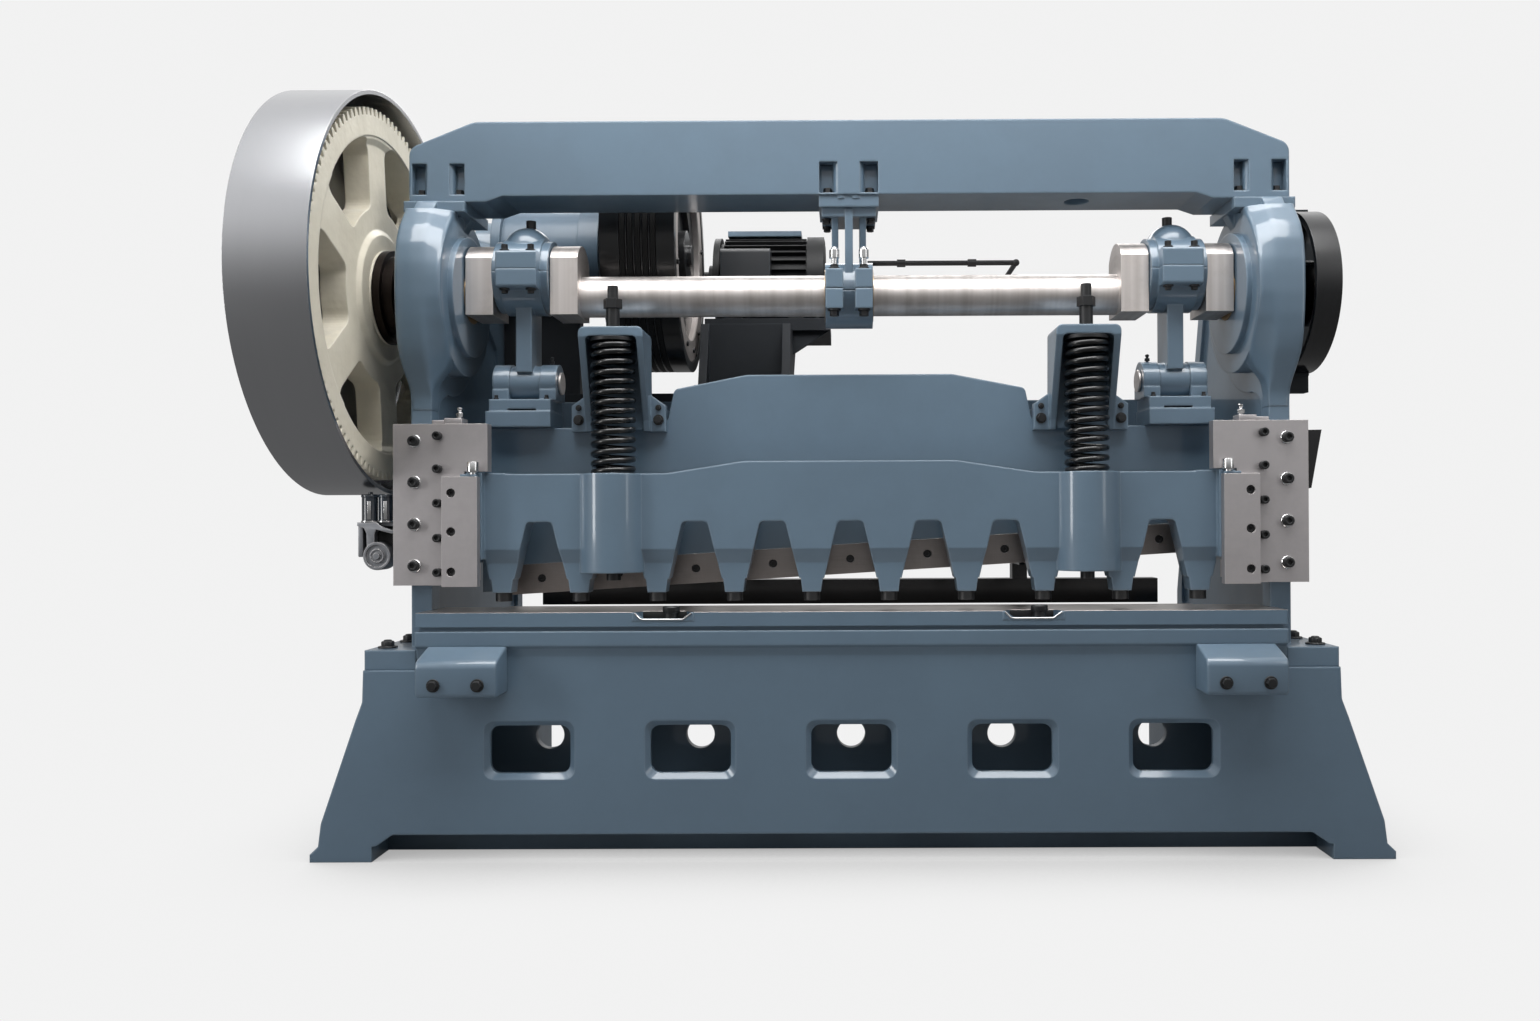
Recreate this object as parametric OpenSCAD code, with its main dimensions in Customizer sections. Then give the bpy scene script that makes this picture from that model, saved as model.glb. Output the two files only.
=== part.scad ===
// Mechanical guillotine shear for 12 mm plate, about 2 m of cut.
// X runs across the machine, Y from the operator to the back, Z up.
// The origin is on the floor, at the middle of the four anchor holes.

/* [Base] */
// Depth of the base, front to back
base_depth = 1100; // [1060:10:1300]
// Height of the bed that carries the table
bed_top = 658; // [650:1:680]
// Height of the ledges that the side frames stand on
ledge_top = 547; // [530:1:560]
// Thickness of the base's walls
base_wall = 30; // [24:1:38]
// Distance between the windows in the front wall
window_pitch = 460; // [440:5:480]
// Width of the opening of each window
window_w = 230; // [200:5:250]
// Height of the opening of each window
window_h = 137; // [120:1:160]
// Radius of the round holes in the back wall
rear_hole_r = 43; // [30:1:60]
// Width of each foot pad
pad_w = 177; // [160:1:190]
// Depth of each foot pad
pad_d = 190; // [160:5:220]
// Radius of the anchor holes
anchor_r = 17; // [12:1:22]

/* [Table and blades] */
// Thickness of the table plate
table_t = 53; // [45:1:60]
// Distance from the base's front wall to the cutting plane
cut_depth = 240; // [230:1:250]
// Length of both blades
blade_len = 2080; // [2040:10:2100]
// Height of the upper blade
blade_h = 90; // [80:1:100]
// Thickness of both blades
blade_t = 28; // [22:1:32]
// Rise of the upper blade along its length
rake_rise = 123; // [100:1:130]
// Gap between the low end of the upper blade and the table
blade_gap = 35; // [30:1:45]

/* [Side frames] */
// Distance between the inner faces of the side frames
frame_gap = 2462; // [2450:2:2470]
// Thickness of each side frame over its rims
frame_t = 60; // [54:2:66]
// Thickness of each side frame's web
web_t = 34; // [28:1:40]
// Height of the side frames' top face over the crankshaft's axis
beam_rise = 270; // [264:1:280]
// Distance from the base's front wall to the frames' front edge
frame_front = 100; // [96:1:106]
// Radius of the main bearing bosses
boss_r = 242; // [230:1:250]

/* [Top beam] */
// Height of the top beam
beam_h = 240; // [220:2:260]
// Depth of the top beam
beam_d = 200; // [190:2:220]
// Length of the top beam
beam_len = 2636; // [2620:2:2650]

/* [Crank drive] */
// Height of the crankshaft's axis
crank_z = 1660; // [1650:1:1670]
// Distance from the base's front wall to the crankshaft's axis
crank_depth = 262; // [256:1:266]
// Radius of the crankshaft
shaft_r = 62; // [56:1:66]
// Throw of the crank
throw = 60; // [50:1:60]
// Radius of the crank pins
pin_r = 40; // [36:1:42]
// Thickness of each crank web
crank_web_t = 83; // [74:1:86]
// Gap between the two webs of a crank
throw_gap = 172; // [168:1:178]
// Distance from the middle of the machine to each connecting rod
rod_x = 987; // [984:1:990]
// Distance from the crank pin to the wrist pin
rod_len = 326; // [320:1:334]
// Radius of the wrist pins
wrist_r = 24; // [20:1:28]
// Play round the crank pin, because a fixed ratio stands in for the crank
pin_play = 41.6; // [41.5:0.1:42]

/* [Ram] */
// Thickness of the ram
ram_t = 80; // [70:1:90]
// Height of the ram's raised middle
ram_top = 1416; // [1400:1:1430]
// Height of the ram's top outside the yokes
ram_shoulder = 1256; // [1250:1:1260]
// Distance from the middle of the machine to each spring
spring_x = 701; // [696:1:706]

/* [Hold-down] */
// Number of pads that grip the sheet
pad_count = 10; // [8:2:10]
// Distance between two pads
pad_pitch = 228; // [224:1:230]
// Gap between the pads and the table
pad_gap = 24; // [20:1:28]
// Thickness of the hold-down beam
hold_t = 80; // [70:1:90]
// Radius of the hold-down's spring housings
housing_r = 97; // [92:1:100]
// Number of curls in each spring
spring_turns = 14; // [10:1:16]
// Radius of the springs' wire
wire_r = 9; // [7:0.5:9.5]
// Radius of the springs, to the middle of the wire
coil_r = 57.5; // [54:0.5:60]

/* [Gears and flywheel] */
// Module of the gear teeth
tooth_module = 10; // [10:1:10]
// Number of teeth on the drive gear
gear_teeth = 110; // [108:1:111]
// Number of teeth on the pinion
pinion_teeth = 18; // [17:1:19]
// Width of the drive gear's face
gear_face = 120; // [100:2:140]
// Number of spokes in the drive gear
gear_spokes = 6; // [5:1:7]
// Radius of the gear cover's band
cover_r = 606; // [602:1:612]
// Width of the gear cover
cover_w = 218; // [206:2:222]
// Radius of the flywheel
flywheel_r = 412; // [400:2:420]
// Radius of the motor's pulley
pulley_r = 95; // [80:1:105]
// Radius of the brake drum
brake_r = 245; // [230:1:250]

/* [Back gauge] */
// Length of the back gauge bar
gauge_len = 2062; // [1900:2:2100]
// Distance from the cutting plane to the back gauge
gauge_set = 350; // [320:5:400]
// Thread radius of the gauge's two screws
screw_r = 15; // [10:1:18]

/* [Hidden] */

$fn = 64;
blue = "#5f7589";
steel = "#a09894";
black = "#1b1d20";
cream = "#d2cbb8";
bronze = "#9a7a4a";

front = -base_depth / 2;
rear = base_depth / 2;
table_top = bed_top + table_t;
cut_y = front + cut_depth;
frame_in = frame_gap / 2;
frame_out = frame_in + frame_t;
frame_top = crank_z + beam_rise;
frame_y = front + frame_front;
crank_y = front + crank_depth;
pin_z = crank_z + throw;
wrist_z = pin_z - rod_len;
fit = 0.05;
seat = 0.3;

// Foot of the machine
foot_out = 1548;
foot_in = foot_out - pad_w;
foot_h = 45;
anchor_x = foot_out - pad_w / 2;
anchor_y = rear - pad_d / 2;
leg_top_out = 1394;
box_depth = 272;

function unit(v) = v / norm(v);
function turned(v, a) = [v[0] * cos(a) - v[1] * sin(a), v[0] * sin(a) + v[1] * cos(a)];
// Points of an arc of radius r that rounds the corner b between its neighbours a and c
function corner(a, b, c, r, n) =
    let (u = unit(a - b), w = unit(c - b), half = acos(u * w) / 2,
         m = b + unit(u + w) * r / sin(half), p = b + u * r / tan(half),
         way = cross(u, w) > 0 ? -1 : 1)
    [for (i = [0:n]) m + turned(p - m, way * (180 - 2 * half) * i / n)];
// Outline whose points [x, y, radius] are rounded where the radius is over zero
function outline(p, n = 5) = [for (i = [0:len(p) - 1])
    let (a = p[(i + len(p) - 1) % len(p)], b = p[i], c = p[(i + 1) % len(p)])
    each b[2] > 0 ? corner([a[0], a[1]], [b[0], b[1]], [c[0], c[1]], b[2], n) : [[b[0], b[1]]]];
// Outline of a rectangle with its corners rounded
function plate(x0, y0, x1, y1, r) = outline([[x0, y0, r], [x1, y0, r], [x1, y1, r], [x0, y1, r]]);
// A half outline in [x, z, radius] joined to its mirror image
function both_sides(p) = concat(p, [for (i = [len(p) - 1:-1:0]) [-p[i][0], p[i][1], p[i][2]]]);

module along_x(x0, x1) translate([x0, 0, 0]) rotate([90, 0, 90]) linear_extrude(x1 - x0) children();
module along_y(y0, y1) translate([0, y1, 0]) rotate([90, 0, 0]) linear_extrude(y1 - y0) children();
module along_z(z0, z1) translate([0, 0, z0]) linear_extrude(z1 - z0) children();
module rod_along_x(x0, x1, y, z, r) translate([x0, y, z]) rotate([0, 90, 0]) cylinder(r = r, h = x1 - x0);
module rod_along_y(x, y0, y1, z, r) translate([x, y0, z]) rotate([-90, 0, 0]) cylinder(r = r, h = y1 - y0);
module rod_along_z(x, y, z0, z1, r) translate([x, y, z0]) cylinder(r = r, h = z1 - z0);
module block(x0, x1, y0, y1, z0, z1) translate([x0, y0, z0]) cube([x1 - x0, y1 - y0, z1 - z0]);
module both() { children(); mirror([1, 0, 0]) children(); }
// Six-sided head with a washer under it, standing on z
module hex_bolt(r, head, washer, washer_t = 5) {
    cylinder(r = washer, h = washer_t);
    translate([0, 0, washer_t]) cylinder(r = r, h = head, $fn = 6);
}
module bolt_up(x, y, z, r, head, washer) translate([x, y, z]) hex_bolt(r, head, washer);
module bolt_front(x, y, z, r, head, washer)
    translate([x, y, z]) rotate([90, 0, 0]) hex_bolt(r, head, washer);
// Socket cap screw with its hexagon recess, facing the operator
module cap_screw(x, y, z, r, head) translate([x, y, z]) rotate([90, 0, 0]) difference() {
    cylinder(r = r, h = head);
    translate([0, 0, head - r * 0.6]) cylinder(r = r * 0.5, h = head, $fn = 6);
}

// The base: a hollow box under the table, two hollow wings under the side frames
window_z = 318;
window_bevel = 15;
wing_in = 1130;
bed_half = 1241;
bed_inner_half = wing_in + 50;
leg = [[foot_out - 24, foot_h, 0], [1516, 110, 60], [1416, 405, 90], [1397, 456, 40], [leg_top_out, ledge_top, 0]];
front_low = 78;
sill_low = 20;
module base_section() polygon(outline(both_sides(concat(
    [[foot_in - 60, front_low, 0], [foot_in - 12, foot_h, 20]], leg))));
module wing_section() polygon(outline(concat(
    [[wing_in, foot_h, 0]], leg, [[wing_in, ledge_top, 0]])));
module base_pads() {
    for (y = [front, rear - pad_d])
        along_y(y, y + pad_d) polygon([[foot_in, 0], [foot_out, 0], [foot_out, 22],
            [foot_out - 24, foot_h], [foot_in, foot_h]]);
}
module window_cut(x) {
    hull() for (s = [[front + window_bevel, 0], [front - 1, window_bevel + 1]])
        translate([x, s[0], window_z]) rotate([90, 0, 0]) linear_extrude(0.5)
            polygon(plate(-window_w / 2 - s[1], -window_h / 2 - s[1], window_w / 2 + s[1], window_h / 2 + s[1], 28));
    translate([x, front, window_z]) rotate([-90, 0, 0]) linear_extrude(base_wall + 1)
        polygon(plate(-window_w / 2, -window_h / 2, window_w / 2, window_h / 2, 28));
}
module base_inside() {
    // Hollow of the front box, then of each wing, open towards the floor
    along_y(front + base_wall, front + box_depth - base_wall) polygon([
        [-leg_top_out + 60, foot_h - 5], [leg_top_out - 60, foot_h - 5],
        [leg_top_out - 60, ledge_top - 40], [wing_in, ledge_top - 40], [wing_in, bed_top - 40],
        [-wing_in, bed_top - 40], [-wing_in, ledge_top - 40], [-leg_top_out + 60, ledge_top - 40]]);
    both() along_y(front + box_depth, rear - base_wall) polygon([
        [wing_in + base_wall, -1], [foot_in - 10, -1], [1405, 300], [leg_top_out - 40, ledge_top - 40],
        [wing_in + base_wall, ledge_top - 40]]);
}
module base() color(blue) difference() {
    union() {
        along_y(front, front + box_depth) base_section();
        along_y(front, front + cut_depth - 2) polygon([[-bed_inner_half, ledge_top - 60],
            [bed_inner_half, ledge_top - 60], [bed_inner_half, bed_top], [-bed_inner_half, bed_top]]);
        // Top flange of the bed, with its cove below
        along_x(-bed_half, bed_half) polygon([[front + 1, bed_top - 80], [front + 30, bed_top - 80],
            [front + 85, bed_top - 60], [front + 85, bed_top], [front - 14, bed_top], [front - 14, bed_top - 42],
            [front - 3, bed_top - 50]]);
        both() along_y(front + box_depth, rear) wing_section();
        both() base_pads();
        // Back wall of the box reaches down to the floor between the feet
        block(-foot_in, foot_in, front + box_depth - base_wall, front + box_depth, 12, front_low + 10);
        block(-wing_in, wing_in, rear - 2 * base_wall, rear, sill_low, sill_low + 85);
    }
    base_inside();
    for (i = [-2:2]) {
        window_cut(i * window_pitch);
        rod_along_y(i * window_pitch, front + box_depth - base_wall - 1, front + box_depth + 1, window_z, rear_hole_r);
    }
    // The lower blade's seat and the clear drop behind it
    block(-wing_in, wing_in, cut_y - blade_t, cut_y + 60, bed_top - 27, bed_top + 1);
    for (x = [-anchor_x, anchor_x], y = [-anchor_y, anchor_y]) rod_along_z(x, y, -1, foot_h + 1, anchor_r);
}

// The table, with two slanted hand pockets in its front edge
pocket_x = [-535, 520];
pocket_w = 150;
pocket_d = 42;
groove_h = 12;
module table() color(blue) difference() {
    union() {
        block(-bed_half, bed_half, front - 8, frame_y - seat, bed_top + groove_h, table_top);
        block(-bed_half + 5, bed_half - 5, front + 6, frame_y - seat, bed_top, bed_top + groove_h);
        block(-frame_in + 4, frame_in - 4, frame_y - seat, cut_y - blade_t - seat, bed_top, table_top);
    }
    for (x = pocket_x) translate([x, front - 9, 0]) along_z(bed_top + groove_h + 14, table_top + 1)
        polygon(outline([[-pocket_w / 2 - 14, -1, 0], [pocket_w / 2 + 14, -1, 0],
            [pocket_w / 2 - 12, pocket_d, 14], [-pocket_w / 2 + 12, pocket_d, 14]]));
}
module table_bolts() color(black) for (x = pocket_x)
    rod_along_z(x, front - 9 + pocket_d / 2, bed_top + groove_h + 14, table_top - 6, 14);
module lower_blade() color(steel)
    block(-blade_len / 2, blade_len / 2, cut_y - blade_t, cut_y, bed_top - 27, table_top);

// Side frames: a web inside a rim, with the main bearing boss and the foot flange
side_rear_low = 1070;
web_out = frame_in + (frame_t + web_t) / 2;
frame_edge = [[frame_front, ledge_top, 0], [frame_front, 1330, 120], [crank_depth - boss_r + 30, 1500, 60],
    [crank_depth - boss_r + 14, 1800, 120], [150, frame_top, 0], [crank_depth + 122, frame_top, 0],
    [crank_depth + 150, 1880, 30], [730, 1862, 60], [side_rear_low, 700, 60], [side_rear_low, ledge_top, 0]];
frame_pocket = [[frame_front + 62, ledge_top + 96, 30], [frame_front + 62, 1330, 60],
    [crank_depth + 60, 1385, 60], [crank_depth + 250, 1480, 90], [crank_depth + 290, 1800, 60],
    [690, 1800, 50], [side_rear_low - 60, 730, 60], [side_rear_low - 60, ledge_top + 96, 30]];
function shifted(p) = [for (q = p) [q[0] + front, q[1], q[2]]];
boss_in = 1180;
boss_out = 1305;
ring_in = 1161;
ring_r = 183;
pad_in = 1149;
pad_out = 1331;
frame_pad_t = 32;
flange_in = 1140;
flange_t = 57;
bush_wall = 18;
bush_r = shaft_r + bush_wall;
shaft_step = 3;
drive_distance = tooth_module * (gear_teeth + pinion_teeth) / 2;
pinion_reach = 587;
pinion_y = crank_y + pinion_reach;
pinion_z = crank_z + sqrt(drive_distance * drive_distance - pinion_reach * pinion_reach);
jackshaft_r = 38;
jack_boss_r = 120;

module side_frame(jack) difference() {
    union() {
        along_x(frame_in + (frame_t - web_t) / 2, frame_in + (frame_t + web_t) / 2)
            polygon(outline(shifted(frame_edge)));
        along_x(frame_in, frame_out) difference() {
            polygon(outline(shifted(frame_edge)));
            polygon(outline(shifted(frame_pocket)));
        }
        rod_along_x(boss_in, boss_out, crank_y, crank_z, boss_r);
        rod_along_x(ring_in, boss_in + 1, crank_y, crank_z, ring_r);
        // Curved stiffener under the boss, on the inner side
        along_x(frame_in, web_out - 1) difference() {
            translate([crank_y, crank_z]) circle(boss_r + 60);
            translate([crank_y, crank_z]) circle(boss_r + 26);
            translate([front - 300, crank_z - 60]) square([1400, 600]);
            translate([front - 300, 1000]) square([300 + frame_front + 20, 900]);
        }
        // Top pad under the beam with its ribs, and the foot flanges on the base
        block(pad_in, pad_out, front + 150, crank_y + 122, frame_top - frame_pad_t, frame_top);
        along_y(crank_y - 20, crank_y + 20) polygon([[pad_in + 8, frame_top - frame_pad_t + 1],
            [boss_in + 1, crank_z + ring_r + 14], [boss_out - 1, crank_z + ring_r + 14],
            [pad_out - 8, frame_top - frame_pad_t + 1]]);
        block(flange_in, leg_top_out - 2, front + 6, front + 320, ledge_top, ledge_top + flange_t);
        block(flange_in, leg_top_out - 2, rear - 330, rear - 32, ledge_top, ledge_top + flange_t);
        if (jack) rod_along_x(frame_in - 3, boss_out, pinion_y, pinion_z, jack_boss_r);
        if (jack) along_x(frame_in, frame_out) polygon([[front + 640, 1650], [front + 640, 1862],
            [pinion_y, pinion_z + jack_boss_r], [pinion_y, pinion_z - jack_boss_r], [front + 860, 1500]]);
    }
    rod_along_x(ring_in - 1, boss_out + 1, crank_y, crank_z, bush_r);
    if (jack) rod_along_x(frame_in - 10, boss_out + 1, pinion_y, pinion_z, jackshaft_r + fit);
    // Room for the back of the foot flange round the bed
    block(flange_in - 1, bed_half + 4, front - 20, front + 95, ledge_top - 1, bed_top);
    block(flange_in - 1, bed_inner_half + 2, front, cut_y, ledge_top - 1, ledge_top + 120);
}
module side_frame_left() color(blue) mirror([1, 0, 0]) side_frame(true);
module side_frame_right() color(blue) side_frame(false);

foot_bolt_x = 1352;
module foot_bolts() color(black) both() for (y = [front + 75, front + 245, rear - 280, rear - 90])
    bolt_up(foot_bolt_x, y, ledge_top + flange_t, 17, 20, 27);

// The top beam, with bolt pockets at its ends and over the centre bearing
beam_z = frame_top + 17;
beam_y = crank_y - beam_d / 2;
beam_end = beam_len / 2;
pocket_floor = 22;
beam_foot = 1090;
beam_wall = 240;
pockets = [[-beam_end + 8, -beam_end + 165], [-88, 88], [beam_end - 165, beam_end - 8]];
module top_beam() color(blue) difference() {
    along_y(beam_y, beam_y + beam_d) polygon(outline(both_sides([
        [beam_foot - 50, beam_z, 20], [beam_foot, frame_top, 0], [beam_end, frame_top, 0],
        [beam_end, frame_top + beam_h - 78, 35], [beam_end - 195, frame_top + beam_h, 90]])));
    for (p = pockets) difference() {
        translate([0, beam_y - 1, 0]) block(p[0], p[1], 0, 60, beam_z + pocket_floor - 17, beam_z + 98);
        block((p[0] + p[1]) / 2 - 34, (p[0] + p[1]) / 2 + 34, beam_y - 2, beam_y + 100, beam_z, beam_z + 200);
    }
    // The beam is hollow from behind and has one hole in its underside
    along_y(beam_y + 110, beam_y + beam_d + 1) polygon(outline(both_sides([
        [beam_end - beam_wall, beam_z + 30, 20], [beam_end - beam_wall, frame_top + beam_h - 40, 20]])));
    rod_along_z(spring_x, crank_y, beam_z - 1, beam_z + 31, 38);
}
module top_beam_bolts() color(black) for (p = pockets, s = [0.14, 0.86])
    bolt_up(p[0] + (p[1] - p[0]) * s, beam_y + 28, beam_z + pocket_floor - 17, 13, 14, 19);

module bush(x0, x1) difference() {
    rod_along_x(x0, x1, crank_y, crank_z, bush_r - fit);
    rod_along_x(x0 - 1, x1 + 1, crank_y, crank_z, shaft_r + fit);
}
centre_half = 74;
module main_bushes() color(bronze) {
    bush(-boss_out - 6, -ring_in + 2);
    bush(ring_in - 2, boss_out + 6);
    bush(-centre_half, centre_half);
}

// Centre bearing: a hanger bolted under the beam and a cap on four studs
hanger_r = 100;
module centre_hanger() color(blue) difference() {
    union() {
        block(-90, 90, beam_y + 6, beam_y + beam_d - 6, beam_z - 36, beam_z);
        block(-82, 82, beam_y + 20, beam_y + beam_d - 20, beam_z - 62, beam_z - 36);
        block(-12, 12, beam_y + 16, beam_y + beam_d - 16, crank_z + 40, beam_z - 40);
        for (x = [-52, 32]) along_x(x, x + 20) polygon([[crank_y - 40, crank_z + 60], [crank_y + 40, crank_z + 60],
            [crank_y + 70, beam_z - 50], [crank_y - 70, beam_z - 50]]);
        rod_along_x(-centre_half + 2, centre_half - 2, crank_y, crank_z, hanger_r);
        for (x = [-70, 18], y = [-hanger_r - 34, hanger_r - 22])
            block(x, x + 52, crank_y + y, crank_y + y + 56, crank_z, crank_z + 58);
    }
    rod_along_x(-centre_half - 1, centre_half + 1, crank_y, crank_z, bush_r);
    block(-200, 200, crank_y - 200, crank_y + 200, crank_z - 200, crank_z + 1);
}
module centre_cap() color(blue) difference() {
    union() {
        rod_along_x(-centre_half + 2, centre_half - 2, crank_y, crank_z, hanger_r);
        for (x = [-70, 18], y = [-hanger_r - 34, hanger_r - 22])
            block(x, x + 52, crank_y + y, crank_y + y + 56, crank_z - 60, crank_z);
    }
    rod_along_x(-centre_half - 1, centre_half + 1, crank_y, crank_z, bush_r);
    block(-200, 200, crank_y - 200, crank_y + 200, crank_z - 1, crank_z + 200);
}
stud_x = 44;
stud_y = hanger_r + 14;
module hanger_bolts() color(black) {
    for (x = [-stud_x, stud_x], y = [-stud_y, stud_y]) {
        translate([x, crank_y + y, crank_z - 60]) rotate([180, 0, 0]) hex_bolt(14, 16, 19);
        bolt_up(x, crank_y + y, crank_z + 58, 12, 10, 17);
    }
    for (x = [-67, 67], y = [-50, 50])
        translate([x, crank_y + y, beam_z - 62]) rotate([180, 0, 0]) hex_bolt(11, 10, 14);
}
module grease_cups() color("#c9c9c9") for (x = [-stud_x, stud_x]) {
    rod_along_z(x, crank_y - stud_y, crank_z + 73, crank_z + 92, 8);
    rod_along_z(x, crank_y - stud_y, crank_z + 92, crank_z + 116, 15);
    translate([x, crank_y - stud_y, crank_z + 116]) cylinder(r1 = 15, r2 = 8, h = 9);
}

// Guide plates on the frames' front edges hold the ram and the ends of the hold-down
guide_z0 = 786;
guide_z1 = 1256;
guide_in = 1055;
guide_out = 1330;
guide_t = 40;
gib_in = 1077;
gib_out = 1180;
gib_z1 = 1101;
gib_t = 28;
gib_screws = [826, 942, 1054];
gib_screw_x = 1153;
// Ends of the hold-down, which slide behind the gibs
hold_half = 1073;
tongue_out = 1118;
tongue_top = 1113;
module guide_plate() {
    difference() {
        block(guide_in, guide_out, frame_y - guide_t, frame_y, guide_z0, guide_z1);
        block(guide_in - 1, tongue_out + 4, frame_y - guide_t - 1, frame_y + 1, guide_z0 - 1, tongue_top + 4);
    }
    difference() {
        block(gib_in, gib_out, frame_y - guide_t - gib_t, frame_y - guide_t, guide_z0 - 3, gib_z1);
        for (z = gib_screws) rod_along_y(gib_screw_x, frame_y - guide_t - gib_t - 1, frame_y - guide_t - 6, z, 13);
    }
}
module guide_plate_left() color(steel) mirror([1, 0, 0]) guide_plate();
module guide_plate_right() color(steel) guide_plate();
module guide_plate_bolts() color(black) both() {
    for (z = [843, 964, 1086, 1206]) bolt_front(guide_out - 62, frame_y - guide_t, z, 13, 16, 19);
    for (z = [824, 924, 1025, 1125, 1221]) cap_screw(guide_out - 132, frame_y - guide_t, z, 13, 22);
    for (z = gib_screws) cap_screw(gib_screw_x, frame_y - guide_t - 6, z, 11.5, 14);
}
ram_back = cut_y + ram_t;
module rear_gibs() color(steel) both()
    block(frame_in - 62, frame_in - seat, ram_back + seat, ram_back + 44, guide_z0, guide_z1 - 20);

// Arm brackets on the front of the base carry the sheet support arms
arm_x0 = 980;
arm_x1 = 1206;
arm_out = 115;
module arm_brackets() color(blue) both() along_x(arm_x0, arm_x1) polygon(outline([
    [front - arm_out, 484, 6], [front, 484, 0], [front, bed_top - 81, 0], [front - 5, bed_top - 60, 0],
    [front - 16, bed_top - 40, 0], [front - 30, bed_top - 38, 6], [front - 60, bed_top - 46, 30],
    [front - arm_out, 588, 16]]));
module arm_bracket_bolts() color(black) both() for (x = [arm_x0 + 52, arm_x1 - 52])
    bolt_front(x, front - arm_out, 519, 14, 14, 19);

// Box beam that ties the frames at the back and carries the motor's pedestal
tie_z0 = 1190;
tie_z1 = 1390;
tie_y0 = front + 800;
tie_y1 = front + 900;
module rear_crossbeam() color(blue) difference() {
    block(-frame_in, frame_in, tie_y0, tie_y1, tie_z0, tie_z1);
    for (x = [-3:3]) translate([x * 300, tie_y1 + 1, (tie_z0 + tie_z1) / 2]) rotate([90, 0, 0])
        linear_extrude(tie_y1 - tie_y0 - 30) polygon(plate(-110, -70, 110, 70, 30));
}

// Gear cover: a band and an outer disc, with a lobe round the pinion
cover_x1 = -1397;
cover_x0 = cover_x1 - cover_w;
cover_wall = 12;
pinion_tip = tooth_module * (pinion_teeth + 2) / 2;
lobe_r = pinion_tip + 32;
module cover_shape(wall) {
    translate([crank_y, crank_z]) circle(cover_r - wall);
    translate([pinion_y, pinion_z]) circle(lobe_r - wall);
}
arm_w = 50;
module cover_arm(angle, x1) translate([0, crank_y, crank_z]) rotate([angle, 0, 0])
    block(cover_x1 - 60, x1, cover_r - 4, cover_r + 36, -arm_w / 2, arm_w / 2);
module gear_cover() color("#b8bcc0") difference() {
    union() {
        along_x(cover_x0, cover_x1) cover_shape(0);
        // Two arms from the band to the left frame, one on its rim and one on its web
        cover_arm(-20.5, -frame_out);
        cover_arm(-75, -web_out);
    }
    along_x(cover_x0 + cover_wall, cover_x1 + 1) cover_shape(cover_wall);
}

// Motor on its plate, cantilevered from the rear beam
motor_y = front + 1400;
motor_x0 = -548;
motor_x1 = -95;
motor_h = 180;
plate_z0 = 1701;
plate_z1 = 1748;
motor_z = plate_z1 + motor_h;
motor_r = 174;
leg_x0 = -548;
leg_x1 = -215;
leg_y = tie_y1 + 120;
module motor_pedestal() color("#2c333b") union() {
    block(wheel_x1 + 10, -70, motor_y - 220, motor_y + 190, plate_z0, plate_z1);
    block(leg_x0, leg_x1, leg_y, motor_y - 60, plate_z0 - 90, plate_z0);
    block(leg_x0, leg_x1, tie_y0 + 10, tie_y1 + 200, tie_z1, tie_z1 + 60);
    block(leg_x0, leg_x1, leg_y, tie_y1 + 200, tie_z1, plate_z0);
    for (x = [leg_x0, leg_x1 - 30]) along_x(x, x + 30) polygon([[tie_y1, tie_z1 - 60], [tie_y1 + 200, tie_z1],
        [motor_y + 120, plate_z0], [leg_y, plate_z0], [tie_y1, tie_z1 + 40]]);
    along_y(motor_y - 200, motor_y - 180) polygon([[leg_x1, plate_z0], [leg_x1 + 140, plate_z0],
        [leg_x1, plate_z0 - 90]]);
    block(web_end - 1, leg_x0 + 1, tie_y0 + 5, tie_y1 - 5, tie_z1, tie_z1 + 30);
    block(leg_x0, leg_x0 + 40, tie_y0 + 5, tie_y1 + 1, tie_z1, tie_z1 + 30);
    housing_bracket();
}
motor_fins = 28;
module motor_housing() color(black) union() {
    rod_along_x(motor_x0 + 40, motor_x1 - 60, motor_y, motor_z, motor_r - 20);
    for (i = [0:motor_fins - 1]) translate([0, motor_y, motor_z]) rotate([i * 360 / motor_fins + 6, 0, 0])
        block(motor_x0 + 60, motor_x1 - 70, -3, 3, motor_r - 25, motor_r);
    rod_along_x(motor_x0 + 20, motor_x0 + 45, motor_y, motor_z, motor_r + 2);
    rod_along_x(motor_x1 - 66, motor_x1, motor_y, motor_z, motor_r + 6);
    rod_along_x(motor_x0 - 8, motor_x0 + 21, motor_y, motor_z, 70);
    for (x = [motor_x0 + 70, motor_x1 - 140]) {
        block(x, x + 60, motor_y - 150, motor_y - 90, plate_z1, motor_z - 60);
        block(x, x + 60, motor_y + 90, motor_y + 150, plate_z1, motor_z - 60);
    }
}
module motor_terminal_box() color(blue) union() {
    along_x(motor_x0 + 60, motor_x0 + 250) polygon(outline([
        [motor_y - motor_r - 95, motor_z - 60, 12], [motor_y - motor_r - seat, motor_z - 60, 0],
        [motor_y - motor_r - seat, motor_z + 80, 0], [motor_y - motor_r - 95, motor_z + 80, 12]]));
    block(motor_x0 + 70, motor_x1 - 90, motor_y - 60, motor_y + 60, motor_z + motor_r + seat, motor_z + motor_r + 22);
}

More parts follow.
